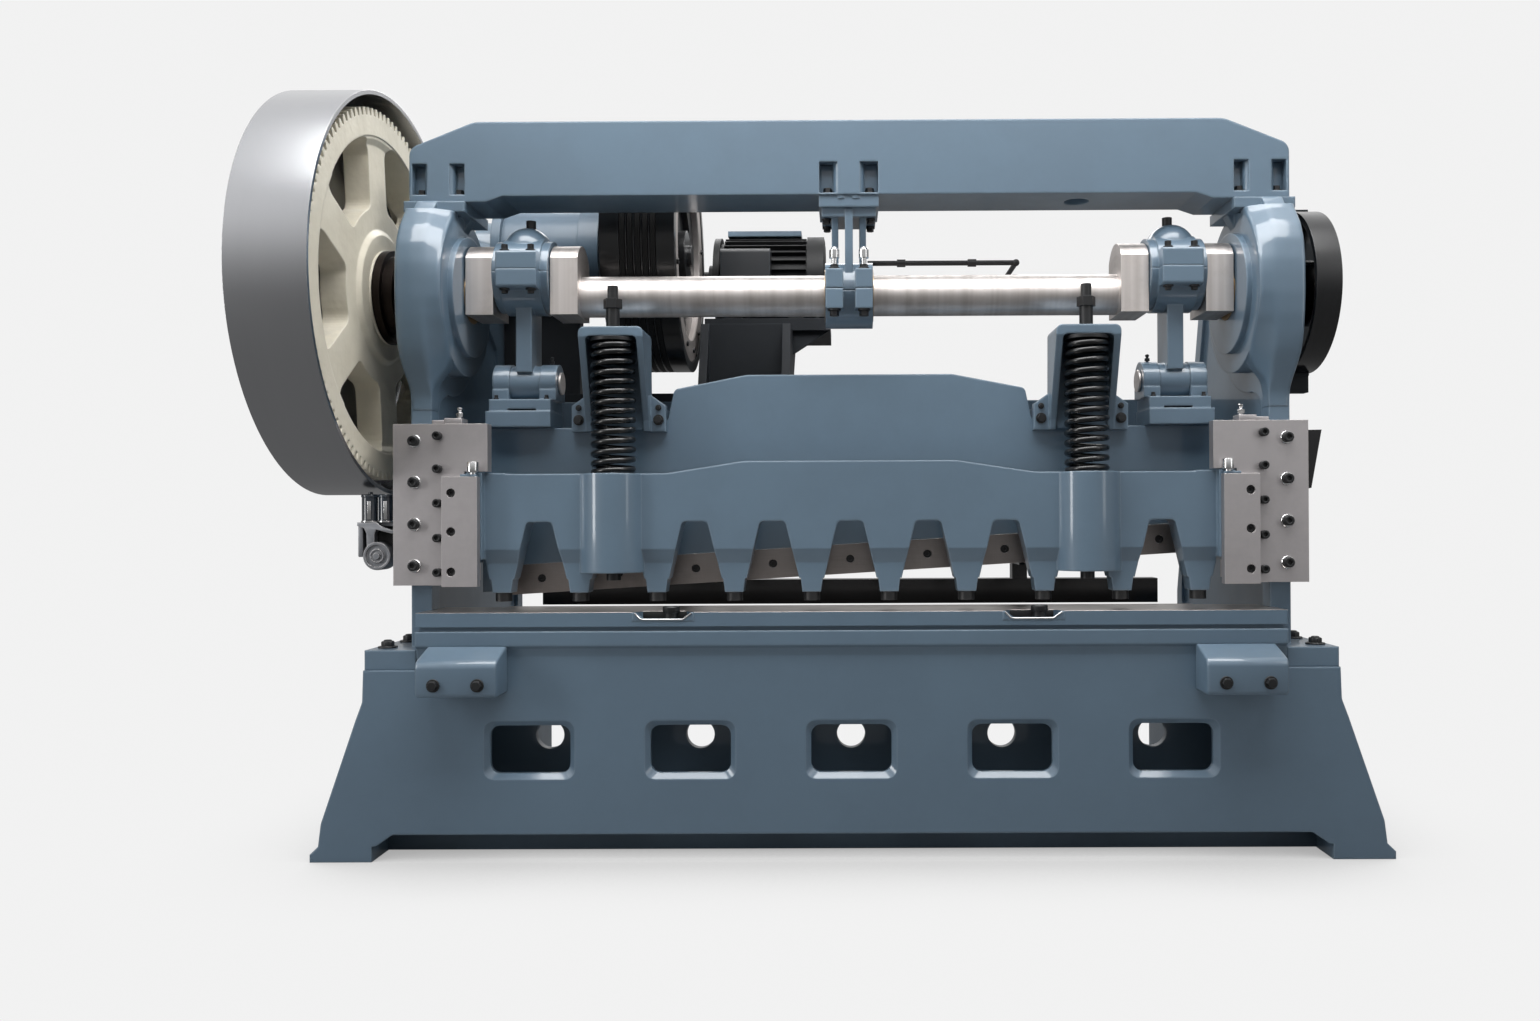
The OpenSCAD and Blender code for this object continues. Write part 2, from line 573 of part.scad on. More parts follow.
// Jack shaft housing on the left frame, with the web that props it on the rear beam
wheel_x0 = -808;
wheel_x1 = -564;
house_x1 = -862;
house_r = 160;
house_collar = 72;
module flywheel_shaft_housing() color(blue) difference() {
    union() {
        rod_along_x(-frame_in + 3, house_x1 - 10, pinion_y, pinion_z, house_r);
        rod_along_x(house_x1 - house_collar, house_x1, pinion_y, pinion_z, house_r + 12);
        rod_along_x(-frame_in + 3, -frame_in + 34, pinion_y, pinion_z, house_r + 24);
    }
    rod_along_x(-frame_in, house_x1 + 1, pinion_y, pinion_z, jackshaft_r + fit);
}
web_end = -958;
module housing_bracket() difference() {
    union() {
        block(-frame_in + 3, web_end, pinion_y - 15, tie_y1 - 10, tie_z1, pinion_z);
        block(-frame_in + 3, web_end, tie_y0 + 5, tie_y1 - 5, tie_z1, tie_z1 + 30);
    }
    rod_along_x(-frame_in, web_end + 1, pinion_y, pinion_z, house_r + seat);
    rod_along_x(-frame_in, -frame_in + 34 + seat, pinion_y, pinion_z, house_r + 24 + seat);
}

// Flywheel side: belts, gears and motor pulley
belt_count = 5;
belt_pitch = 25;
belt_x = wheel_x0 + 66;
belt_gap = 0.5;
belt_w = 16;
groove_depth = 12;
// Outline of a belt run: two circles and the straight stretches between them
belt_dy = motor_y - pinion_y;
belt_dz = motor_z - pinion_z;
belt_span = sqrt(belt_dy * belt_dy + belt_dz * belt_dz);
belt_tilt = atan2(belt_dz, belt_dy);
module belt_shape(a, b) {
    lean = asin((a - b) / belt_span);
    translate([pinion_y, pinion_z]) rotate(belt_tilt) {
        circle(a);
        translate([belt_span, 0]) circle(b);
        polygon([turned([a, 0], 90 - lean), turned([a, 0], lean - 90),
            [belt_span, 0] + turned([b, 0], lean - 90), [belt_span, 0] + turned([b, 0], 90 - lean)]);
    }
}
module drive_belts() color("#101112") for (i = [0:belt_count - 1])
    along_x(belt_x + i * belt_pitch, belt_x + i * belt_pitch + belt_w) difference() {
        belt_shape(flywheel_r - groove_depth + belt_gap + 11, pulley_r - groove_depth + belt_gap + 11);
        belt_shape(flywheel_r - groove_depth + belt_gap, pulley_r - groove_depth + belt_gap);
    }
module grooves(r) for (i = [0:belt_count - 1]) difference() {
    rod_along_x(belt_x + i * belt_pitch - 2, belt_x + i * belt_pitch + belt_w + 2, 0, 0, r + 5);
    rod_along_x(belt_x + i * belt_pitch - 3, belt_x + i * belt_pitch + belt_w + 3, 0, 0, r - groove_depth);
}

// Spur gear outline with straight-flanked teeth and room for backlash
module gear_outline(teeth, phase) {
    pitch_r = tooth_module * teeth / 2;
    tip = pitch_r + tooth_module;
    root = pitch_r - 1.25 * tooth_module;
    step = 360 / teeth;
    polygon([for (i = [0:teeth - 1]) let (a = i * step + phase)
        each [turned([root, 0], a - step * 0.34), turned([pitch_r, 0], a - step * 0.235),
            turned([tip, 0], a - step * 0.12), turned([tip, 0], a + step * 0.12),
            turned([pitch_r, 0], a + step * 0.235), turned([root, 0], a + step * 0.34)]]);
}
gear_x1 = cover_x1 - 25;
gear_x0 = gear_x1 - gear_face;
gear_root = tooth_module * gear_teeth / 2 - 1.25 * tooth_module;
rim_in = 480;
rim_step = 455;
gear_hub_r = 190;
spoke_half = 62;
window_in = 270;
web_x0 = gear_x0 + 30;
web_x1 = gear_x1 - 14;
spoke_angle = 37;
mesh_angle = atan2(pinion_z - crank_z, pinion_reach);
// Window between two spokes of even width, centred on the Y axis
module gear_window() {
    step = 360 / gear_spokes;
    out_r = rim_in - 2;
    out_a = step / 2 - asin(spoke_half / out_r);
    in_a = step / 2 - asin(spoke_half / window_in);
    polygon(outline(concat([[out_r * cos(out_a), -out_r * sin(out_a), 45]],
        [for (i = [-4:4]) [out_r * cos(i * 3.5), out_r * sin(i * 3.5), 0]],
        [[out_r * cos(out_a), out_r * sin(out_a), 45], [window_in * cos(in_a), window_in * sin(in_a), 35]],
        [for (i = [2:-1:-2]) [window_in * cos(i * 4.5), window_in * sin(i * 4.5), 0]],
        [[window_in * cos(in_a), -window_in * sin(in_a), 35]])));
}
// Half section of the gear's body: hub, web and the step up to the rim
gear_section = [[shaft_r - 10, gear_x0 - 12, 0], [gear_hub_r - 48, gear_x0 - 12, 0], [gear_hub_r - 48, gear_x0, 0],
    [gear_hub_r, gear_x0, 8], [gear_hub_r + 8, web_x0, 12], [rim_step, web_x0, 12], [rim_in - 4, gear_x0 + 6, 8],
    [rim_in + 4, gear_x0 + 6, 0], [rim_in + 4, gear_x1 - 3, 0], [rim_in - 8, gear_x1 - 3, 4], [rim_step, web_x1, 8],
    [gear_hub_r + 16, web_x1, 8], [gear_hub_r, gear_x1 - 2, 6], [gear_hub_r - 48, gear_x1 - 2, 0],
    [gear_hub_r - 48, gear_x1 + 4, 0], [shaft_r - 10, gear_x1 + 4, 0]];
module drive_gear() color(cream) difference() {
    union() {
        difference() {
            along_x(gear_x0, gear_x1) translate([crank_y, crank_z]) gear_outline(gear_teeth, mesh_angle);
            rod_along_x(gear_x0 - 1, gear_x1 + 1, crank_y, crank_z, rim_in);
        }
        difference() {
            translate([0, crank_y, crank_z]) rotate([0, 90, 0]) rotate_extrude($fn = 96)
                polygon(outline(gear_section, 3));
            for (i = [0:gear_spokes - 1]) translate([0, crank_y, crank_z])
                rotate([(i + 0.5) * 360 / gear_spokes + spoke_angle, 0, 0])
                    along_x(gear_x0 - 1, gear_x1 + 1) gear_window();
        }
    }
    rod_along_x(gear_x0 - 20, gear_x1 + 20, crank_y, crank_z, shaft_r + fit);
}
pinion_phase = 180 + mesh_angle + 180 / pinion_teeth;
module flywheel() color(black) union() {
    translate([0, pinion_y, pinion_z]) difference() {
        rod_along_x(wheel_x0, wheel_x1, 0, 0, flywheel_r);
        grooves(flywheel_r);
        rod_along_x(wheel_x1 - 60, wheel_x1 + 1, 0, 0, flywheel_r - 36);
        rod_along_x(wheel_x0 - 1, wheel_x0 + 60, 0, 0, flywheel_r - 36);
    }
    translate([0, pinion_y, pinion_z]) {
        difference() {
            rod_along_x(wheel_x1 - 62, wheel_x1 - 26, 0, 0, 322);
            rod_along_x(wheel_x1 - 48, wheel_x1, 0, 0, 205);
        }
        rod_along_x(wheel_x0 + 8, wheel_x1 - 10, 0, 0, 90);
        rod_along_x(gear_x0 - 20, wheel_x1 + 6, 0, 0, jackshaft_r);
    }
    along_x(gear_x0 - 4, gear_x1 + 4) translate([pinion_y, pinion_z]) gear_outline(pinion_teeth, pinion_phase);
}
module motor_pulley() color(black) translate([0, motor_y, motor_z]) difference() {
    union() {
        rod_along_x(wheel_x0 + 40, wheel_x0 + 200, 0, 0, pulley_r);
        rod_along_x(wheel_x0 + 190, motor_x0 - 8 - seat, 0, 0, 45);
    }
    grooves(pulley_r);
}

// Brake: a drum on the crankshaft's right end and a lined band round it
brake_x0 = 1342;
brake_x1 = 1415;
module brake_drum() color(black) difference() {
    union() {
        difference() {
            rod_along_x(brake_x0, brake_x1, crank_y, crank_z, brake_r);
            rod_along_x(brake_x0 - 1, brake_x1 - 14, crank_y, crank_z, brake_r - 18);
        }
        rod_along_x(brake_x0 + 4, brake_x1 - 2, crank_y, crank_z, 100);
    }
    rod_along_x(brake_x0 - 2, brake_x1 + 1, crank_y, crank_z, shaft_r - shaft_step);
}
band_gap = 0.6;
module brake_band() color("#3a3f45") {
    along_x(brake_x0 + 10, brake_x1 - 10) difference() {
        translate([crank_y, crank_z]) circle(brake_r + band_gap + 9);
        translate([crank_y, crank_z]) circle(brake_r + band_gap);
        translate([crank_y - brake_r * 2, crank_z - brake_r * 2]) square([brake_r * 2 - 20, brake_r * 4]);
    }
    block(frame_out, brake_x1 - 10, crank_y - 15, crank_y + 25, crank_z - brake_r - 60, crank_z - brake_r - band_gap - 8);
}

// Crankshaft, with two throws at top dead centre
crank_web_half = 83;
collar_r = 143;
function web_x(side) = rod_x + side * (throw_gap / 2 + crank_web_t / 2);
module crank_web(x) along_x(x - crank_web_t / 2, x + crank_web_t / 2) intersection() {
    translate([crank_y - crank_web_half, crank_z - 66]) square([2 * crank_web_half, throw + 66 + 95]);
    union() {
        translate([crank_y, pin_z]) circle(95);
        translate([crank_y - crank_web_half, crank_z - 66]) square([2 * crank_web_half, 66 + throw]);
    }
}
module crankshaft() color(steel) union() {
    rod_along_x(-web_x(-1), web_x(-1), crank_y, crank_z, shaft_r);
    both() {
        crank_web(web_x(-1));
        crank_web(web_x(1));
        rod_along_x(web_x(-1), web_x(1), crank_y, pin_z, pin_r);
    }
    rod_along_x(web_x(1), brake_x1 - 20, crank_y, crank_z, shaft_r - shaft_step);
    rod_along_x(web_x(1), brake_x0 - 8, crank_y, crank_z, shaft_r);
    rod_along_x(gear_x0 - 26, -web_x(1), crank_y, crank_z, shaft_r);
    rod_along_x(gear_x0 - 44, gear_x0 - 14, crank_y, crank_z, 104);
    // Collars between the gear and the left frame
    rod_along_x(gear_x1 + 6, cover_x1 + 4, crank_y, crank_z, collar_r);
    rod_along_x(cover_x1 + 4, cover_x1 + 34, crank_y, crank_z, collar_r - 18);
    rod_along_x(cover_x1 + 34, -boss_out - 10, crank_y, crank_z, collar_r - 38);
}

// Connecting rods: a big end split at the crank pin, a flat shank and a small eye
head_w = throw_gap - 5;
head_r = pin_r + pin_play + 27;
lug_w = 121;
lug_y = 146;
lug_h = 55;
bore_r = pin_r + pin_play;
eye_w = 92;
eye_r = 55;
dome_h = 149;
module rod_head(low, high) intersection() {
    difference() {
        union() {
            rod_along_x(rod_x - head_w / 2, rod_x + head_w / 2, crank_y, pin_z, head_r);
            rod_along_x(rod_x - lug_w / 2, rod_x + lug_w / 2, crank_y, pin_z, head_r + 8);
            along_x(rod_x - lug_w / 2, rod_x + lug_w / 2) polygon(plate(crank_y - lug_y, pin_z - lug_h,
                crank_y + lug_y, pin_z + lug_h, 8));
        }
        rod_along_x(rod_x - head_w, rod_x + head_w, crank_y, pin_z, bore_r);
    }
    block(rod_x - head_w, rod_x + head_w, crank_y - 300, crank_y + 300, low, high);
}
module conrod() difference() {
    union() {
        rod_head(pin_z - 200, pin_z - seat / 2);
        along_y(crank_y - 58, crank_y + 58) polygon([[rod_x - 24, wrist_z + 30], [rod_x + 24, wrist_z + 30],
            [rod_x + 24, pin_z - bore_r - 10], [rod_x - 24, pin_z - bore_r - 10]]);
        rod_along_x(rod_x - eye_w / 2, rod_x + eye_w / 2, crank_y, wrist_z, eye_r);
    }
    rod_along_x(rod_x - eye_w, rod_x + eye_w, crank_y, wrist_z, wrist_r + fit);
}
module conrod_cap() union() {
    rod_head(pin_z + seat / 2, pin_z + 200);
    difference() {
        translate([rod_x, crank_y, pin_z + 78]) sphere(r = 75);
        rod_along_x(rod_x - head_w, rod_x + head_w, crank_y, pin_z, head_r - 2);
        block(rod_x - 200, rod_x + 200, crank_y - 200, crank_y + 200, pin_z - 100, pin_z + 40);
        block(rod_x - 200, rod_x + 200, crank_y - 200, crank_y + 200, pin_z + dome_h, pin_z + 200);
    }
}
module conrod_bolts() {
    for (x = [-39, 39], y = [-lug_y + 22, lug_y - 22]) {
        bolt_up(rod_x + x, crank_y + y, pin_z + lug_h, 10, 16, 15);
        translate([rod_x + x, crank_y + y, pin_z - lug_h]) rotate([180, 0, 0]) hex_bolt(10, 10, 15);
    }
    rod_along_z(rod_x - 8, crank_y, pin_z + dome_h, pin_z + dome_h + 26, 15);
}
module conrod_left() color(blue) mirror([1, 0, 0]) conrod();
module conrod_right() color(blue) conrod();
module conrod_cap_left() color(blue) mirror([1, 0, 0]) conrod_cap();
module conrod_cap_right() color(blue) conrod_cap();
module conrod_bolts_left() color(black) mirror([1, 0, 0]) conrod_bolts();
module conrod_bolts_right() color(black) conrod_bolts();

// Ram: a heavy plate with a raised middle and guide blocks at its ends
ram_half = frame_in - 10;
ear_w = 66;
blade_low = table_top + blade_gap;
blade_slope = rake_rise / blade_len;
function blade_edge(x) = blade_low + (x + blade_len / 2) * blade_slope;
blade_end = blade_len / 2;
ram_end = tongue_out + 6;
module ram() color(blue) difference() {
    union() {
        along_y(cut_y, ram_back) polygon(outline([
            [-ram_end, blade_edge(-ram_end) + 14, 0], [ram_end, blade_edge(ram_end) + 14, 0],
            [ram_end, ram_shoulder, 0], [560, ram_shoulder, 40], [536, ram_top - 43, 20],
            [314, ram_top, 80], [-314, ram_top, 80], [-536, ram_top - 43, 20], [-560, ram_shoulder, 40],
            [-ram_end, ram_shoulder, 0]]));
        both() block(ram_end - 2, ram_half, frame_y + seat, ram_back, guide_z0 + 60, ram_shoulder);
        // Pads behind the ears of the yokes
        both() for (x = [spring_x - yoke_in - ear_w + 2, spring_x + yoke_in])
            block(x, x + ear_w - 2, cut_y, ram_back, ram_shoulder - 1, ear_z1 - 24);
        // Back flange that stiffens the plate
        block(-ram_end, ram_end, ram_back, ram_back + 40, ram_shoulder - 130, ram_shoulder - 70);
    }
    // The upper blade sits in a rebate, flush with the ram's face
    along_y(cut_y - 1, cut_y + blade_t) polygon([
        [-blade_end, blade_edge(-blade_end) - 1], [blade_end, blade_edge(blade_end) - 1],
        [blade_end, blade_edge(blade_end) + blade_h], [-blade_end, blade_edge(-blade_end) + blade_h]]);
}
blade_bolts = 17;
blade_bolt_pitch = (blade_len - 2 * 96) / (blade_bolts - 1);
module upper_blade() color(steel) difference() {
    along_y(cut_y, cut_y + blade_t) polygon([
        [-blade_end, blade_edge(-blade_end)], [blade_end, blade_edge(blade_end)],
        [blade_end, blade_edge(blade_end) + blade_h], [-blade_end, blade_edge(-blade_end) + blade_h]]);
    for (i = [0:blade_bolts - 1]) let (x = (i - (blade_bolts - 1) / 2) * blade_bolt_pitch)
        rod_along_y(x, cut_y - 1, cut_y + 15, blade_edge(x) + blade_h / 2, 13);
}
module upper_blade_bolts() color(black)
    for (i = [0:blade_bolts - 1]) let (x = (i - (blade_bolts - 1) / 2) * blade_bolt_pitch)
        cap_screw(x, cut_y + 15, blade_edge(x) + blade_h / 2, 12, 12);

// Saddles on the ram hold the wrist pins
saddle_top = wrist_z - 54;
saddle_d = 160;
cap_w = 50;
lug_r = 58;
saddle_out = eye_w / 2 + seat + cap_w;
module saddle() difference() {
    union() {
        block(rod_x - 85, rod_x + 111, crank_y - saddle_d / 2, crank_y + saddle_d / 2, ram_shoulder, ram_shoulder + 48);
        block(rod_x - 84, rod_x + 102, crank_y - saddle_d / 2 + 6, crank_y + saddle_d / 2 - 6, ram_shoulder + 48, saddle_top);
        for (s = [-1, 1]) {
            rod_along_x(rod_x + s * (eye_w + 2 * seat + cap_w) / 2 - cap_w / 2,
                rod_x + s * (eye_w + 2 * seat + cap_w) / 2 + cap_w / 2, crank_y, wrist_z, lug_r);
            translate([rod_x + s * (eye_w + 2 * seat + cap_w) / 2 - cap_w / 2, 0, 0])
                block(0, cap_w, crank_y - lug_r, crank_y + lug_r, saddle_top - 1, wrist_z - 22);
        }
        block(rod_x - 84, rod_x + 96, crank_y + lug_r, crank_y + saddle_d / 2 - 6, saddle_top - 1, wrist_z - 40);
    }
    rod_along_x(rod_x - 120, rod_x + 120, crank_y, wrist_z, wrist_r + fit);
    rod_along_x(rod_x - eye_w / 2 - seat, rod_x + eye_w / 2 + seat, crank_y, wrist_z, eye_r + 1);
    block(rod_x - 40, rod_x + 46, crank_y - saddle_d, crank_y + 20, ram_shoulder + 50, ram_shoulder + 55);
}
module saddle_left() color(blue) mirror([1, 0, 0]) saddle();
module saddle_right() color(blue) saddle();
module wrist_pins() color(steel) both() {
    rod_along_x(rod_x - saddle_out - 2, rod_x + saddle_out + 2, crank_y, wrist_z, wrist_r);
    rod_along_x(rod_x - saddle_out - 8, rod_x - saddle_out - 2, crank_y, wrist_z, 34);
}
module saddle_bolts() color(black) both() for (x = [-70, 82])
    bolt_up(rod_x + x, crank_y - 66, saddle_top, 6, 8, 7.5);

// Yokes on the ram's face hold the screws that load the springs
pad_y = front + 125;
yoke_top = 1542;
yoke_t = 27;
yoke_in = 77;
yoke_wall = 20;
yoke_front = pad_y - 40;
screw_shank = 16;
ear_t = 30;
ear_z0 = 1242;
ear_z1 = 1335;
module yoke() union() {
    intersection() {
        along_y(yoke_front, cut_y - seat) difference() {
            polygon(outline([[-yoke_in - yoke_wall, ear_z0, 0], [-yoke_in - yoke_wall + 2, yoke_top, 18],
                [yoke_in + yoke_wall - 2, yoke_top, 18], [yoke_in + yoke_wall, ear_z0, 0]]));
            polygon(outline([[-yoke_in, ear_z0 - 1, 0], [-yoke_in + 2, yoke_top - yoke_t, 14],
                [yoke_in - 2, yoke_top - yoke_t, 14], [yoke_in, ear_z0 - 1, 0]]));
        }
        // The flanks lean back towards the ram on their way down
        along_x(-yoke_in - yoke_wall - 1, yoke_in + yoke_wall + 1) polygon([[cut_y, ear_z0], [cut_y, yoke_top + 1],
            [yoke_front - 1, yoke_top + 1], [yoke_front - 1, yoke_top - yoke_t], [cut_y - ear_t - 20, ear_z0 + 30],
            [cut_y - ear_t - 14, ear_z0]]);
    }
    for (s = [-1, 1]) scale([s, 1, 1]) along_y(cut_y - seat - ear_t, cut_y - seat) polygon([
        [yoke_in, ear_z0], [yoke_in + ear_w, ear_z0], [yoke_in + ear_w, ear_z1 - 14],
        [yoke_in + ear_w - 12, ear_z1 - 6], [yoke_in + yoke_wall, ear_z1 + 18], [yoke_in, ear_z1 + 18]]);
}
pusher_t = 10;
spring_top = yoke_top - yoke_t - 4 - pusher_t;
module yoke_with_hole() difference() {
    yoke();
    rod_along_z(0, pad_y, yoke_top - yoke_t - 30, yoke_top + 1, screw_shank + fit);
}
module yoke_left() color(blue) translate([-spring_x, 0, 0]) yoke_with_hole();
module yoke_right() color(blue) translate([spring_x, 0, 0]) yoke_with_hole();
module yoke_screws() color(black) both() translate([spring_x, 0, 0]) {
    rod_along_z(0, pad_y, spring_top + pusher_t / 2, yoke_top + 125, screw_shank);
    rod_along_z(0, pad_y, yoke_top + seat, yoke_top + 58, 20);
    along_z(yoke_top + 58, yoke_top + 86) translate([0, pad_y]) circle(r = 28, $fn = 6);
    for (x = [-yoke_in - 44, yoke_in + 44]) {
        bolt_front(x, cut_y - seat - ear_t, ear_z0 + 35, 12, 12, 16);
        bolt_front(x, cut_y - seat - ear_t, ear_z0 + 72, 6, 7, 9);
    }
    rod_along_z(0, pad_y, spring_top, spring_top + pusher_t, coil_r + wire_r);
}

// Hold-down beam with tapered fingers, spring housings and pads
hold_y = pad_y - hold_t / 2;
hold_top = 1110;
hold_step = 16;
hold_step_z = 888;
hold_mid = 1145;
notch_top = 969;
finger_tip = table_top + pad_gap + 26;
finger_w = 54;
finger_root = 150;
spring_seat = 1096;
function pad_x(i) = (i - (pad_count - 1) / 2) * pad_pitch;
module hold_profile() difference() {
    polygon(outline([[-hold_half, finger_tip + 40, 0], [hold_half, finger_tip + 40, 0],
        [hold_half, hold_top, 0], [540, hold_top, 120], [310, hold_mid, 120], [-310, hold_mid, 120],
        [-540, hold_top, 120], [-hold_half, hold_top, 0]]));
    for (i = [0:pad_count]) let (a = pad_x(i - 1), b = pad_x(i)) translate([(a + b) / 2, 0])
        polygon(outline([[-pad_pitch / 2 + finger_w / 2, 0, 0], [pad_pitch / 2 - finger_w / 2, 0, 0],
            [pad_pitch / 2 - finger_w / 2, finger_tip, 0], [37, notch_top, 14], [-37, notch_top, 14],
            [-pad_pitch / 2 + finger_w / 2, finger_tip, 0]]));
}
module fingers() for (i = [0:pad_count - 1]) translate([pad_x(i), 0, 0])
    along_y(hold_y + hold_step, hold_y + hold_t) polygon([[-finger_w / 2, finger_tip], [finger_w / 2, finger_tip],
        [finger_w / 2 + 6, finger_tip + 45], [-finger_w / 2 - 6, finger_tip + 45]]);
module hold_down_beam() color(blue) difference() {
    union() {
        intersection() {
            along_y(hold_y, hold_y + hold_t) hold_profile();
            // The front face steps back over the fingers
            along_x(-hold_half, hold_half) polygon([[hold_y - 1, hold_step_z], [hold_y - 1, hold_mid + 1],
                [hold_y + hold_t + 1, hold_mid + 1], [hold_y + hold_t + 1, finger_tip],
                [hold_y + hold_step, finger_tip], [hold_y + hold_step, hold_step_z - 41], [hold_y, hold_step_z]]);
        }
        fingers();
        both() rod_along_z(spring_x, pad_y, 820, hold_top, housing_r);
        // Tongues that slide behind the gibs, with a low step on top
        both() block(hold_half - 62, hold_half, hold_y, hold_y + hold_t, hold_top - 2, tongue_top);
        both() block(hold_half - 1, tongue_out, frame_y - guide_t + 1, hold_y + hold_t, 860, tongue_top);
    }
    // Pocket that the spring stands in, and the rod's bore below it
    both() rod_along_z(spring_x, pad_y, spring_seat, hold_top + 10, housing_r - 16);
    both() rod_along_z(spring_x, pad_y, 810, 1100, 22);
    for (i = [0:pad_count - 1]) rod_along_z(pad_x(i), pad_y, finger_tip - 1, finger_tip + 20, 12 + fit);
}
module hold_down_pads() color(black) {
    for (i = [0:pad_count - 1]) {
        rod_along_z(pad_x(i), pad_y, finger_tip - seat, finger_tip + 19, 12);
        rod_along_z(pad_x(i), pad_y, table_top + pad_gap, finger_tip - seat, 24);
    }
    both() rod_along_z(spring_x, pad_y, 796, 1095, 21);
}

// Springs: one unbroken tube each, flat and closed at both ends
wire_half = wire_r * sin(60);
spring_z0 = spring_seat + wire_half + seat;
spring_z1 = spring_top - wire_half - seat;
curl_steps = 8;
wire_sides = 6;
spring_pitch = (spring_z1 - spring_z0) / spring_turns;
steps = spring_turns * curl_steps;
function spring_point(t) = [coil_r * cos(360 * t), coil_r * sin(360 * t), spring_z0 + spring_pitch * t];
function spring_way(t) = unit([-coil_r * 2 * PI * sin(360 * t), coil_r * 2 * PI * cos(360 * t), spring_pitch]);
function ring(p, way) = let (out = unit([p[0], p[1], 0]), up = cross(way, out))
    [for (k = [0:wire_sides - 1]) p + wire_r * (out * cos(360 * k / wire_sides) + up * sin(360 * k / wire_sides))];
spring_path = [for (i = [0:steps]) spring_point(i / curl_steps)];
spring_ways = [for (i = [0:steps]) spring_way(i / curl_steps)];
lead = 2 * wire_r;
module spring_tube() {
    first = ring(spring_path[0], spring_ways[0]);
    head = [for (q = first) q - [0, lead, 0]];
    last = ring(spring_path[steps], spring_ways[steps]);
    tail = [for (q = last) q + [0, lead, 0]];
    rings = concat([head], [for (i = [0:steps]) ring(spring_path[i], spring_ways[i])], [tail]);
    n = wire_sides;
    count = len(rings);
    polyhedron(points = [for (r = rings) each r], faces = concat(
        [for (k = [1:n - 2]) [0, k, k + 1]],
        [for (j = [0:count - 2], k = [0:n - 1]) each [
            [j * n + k, (j + 1) * n + k, (j + 1) * n + (k + 1) % n],
            [j * n + k, (j + 1) * n + (k + 1) % n, j * n + (k + 1) % n]]],
        [for (k = [1:n - 2]) [(count - 1) * n, (count - 1) * n + k + 1, (count - 1) * n + k]]));
}
echo(least_gap_between_curls = spring_pitch * cos(atan(spring_pitch / (2 * PI * coil_r))) - 2 * wire_r);
module spring_left() color(black) translate([-spring_x, pad_y, 0]) spring_tube();
module spring_right() color(black) translate([spring_x, pad_y, 0]) spring_tube();

// Back gauge: rails and screws behind the ram carry a straight bar
rail_x = 570;
rail_z = 850;
rail_end = cut_y + 720;
gauge_y = cut_y + gauge_set;
gauge_z0 = 690;
gauge_z1 = 771;
gauge_d = 70;
module gauge_rails() color(black) both() {
    for (x = [-42, 26]) block(rail_x + x, rail_x + x + 16, ram_back, rail_end, rail_z - 22, rail_z + 22);
    block(rail_x - 42, rail_x + 42, rail_end, rail_end + 16, rail_z - 30, rail_z + 30);
}
module back_gauge() color(black) {
    difference() {
        union() {
            along_x(-gauge_len / 2, gauge_len / 2) polygon(outline([[gauge_y, gauge_z0, 0], [gauge_y + gauge_d, gauge_z0, 20],
                [gauge_y + gauge_d, gauge_z1, 0], [gauge_y, gauge_z1, 0]]));
            both() block(rail_x - 25, rail_x + 25, gauge_y + 6, gauge_y + gauge_d - 4, gauge_z1, rail_z + 24);
        }
        both() rod_along_y(rail_x, gauge_y - 1, gauge_y + gauge_d + 10, rail_z, screw_r + fit);
        along_x(-gauge_len / 2 + 14, gauge_len / 2 - 14) polygon([[gauge_y + 14, gauge_z0 - 10],
            [gauge_y + gauge_d - 14, gauge_z0 - 10], [gauge_y + gauge_d - 14, gauge_z1 - 14], [gauge_y + 14, gauge_z1 - 14]]);
    }
}
module gauge_screw() rod_along_y(rail_x, ram_back + seat, rail_end - seat, rail_z, screw_r);
module gauge_screw_left() color(steel) mirror([1, 0, 0]) gauge_screw();
module gauge_screw_right() color(steel) gauge_screw();

// Small fittings on the outside of the frames
module switch_box() color(black) along_y(frame_y + 20, frame_y + 150)
    polygon([[frame_out, 1230], [1393, 1232], [1362, 1060], [1344, 1056], [1336, 1012], [frame_out, 1010]]);
module lubricator() color("#a9adb0") {
    block(-1394, -frame_out, frame_y + 30, frame_y + 60, 870, 1010);
    rod_along_z(-1432, frame_y + 45, 935, 1043, 38);
    rod_along_y(-1420, frame_y - 5, frame_y + 95, 868, 40);
}
pipe_r = 8;
pipe_x = 520;
pipe_y = front + 1200;
pipe_z = beam_z - 178;
pipe_end = -120;
module oil_pipe() color("#22262a") {
    rod_along_x(58, pipe_x, crank_y + 40, pipe_z, pipe_r);
    rod_along_y(pipe_x, crank_y + 40, pipe_y, pipe_z, pipe_r);
    rod_along_x(pipe_end, pipe_x, pipe_y, pipe_z, pipe_r);
    rod_along_z(pipe_end, pipe_y, plate_z1, pipe_z, pipe_r);
    for (p = [[pipe_x, crank_y + 40], [pipe_x, pipe_y], [pipe_end, pipe_y]])
        translate([p[0], p[1], pipe_z]) sphere(r = pipe_r + 3);
    for (x = [150, 370]) rod_along_x(x, x + 26, crank_y + 40, pipe_z, pipe_r + 4);
}

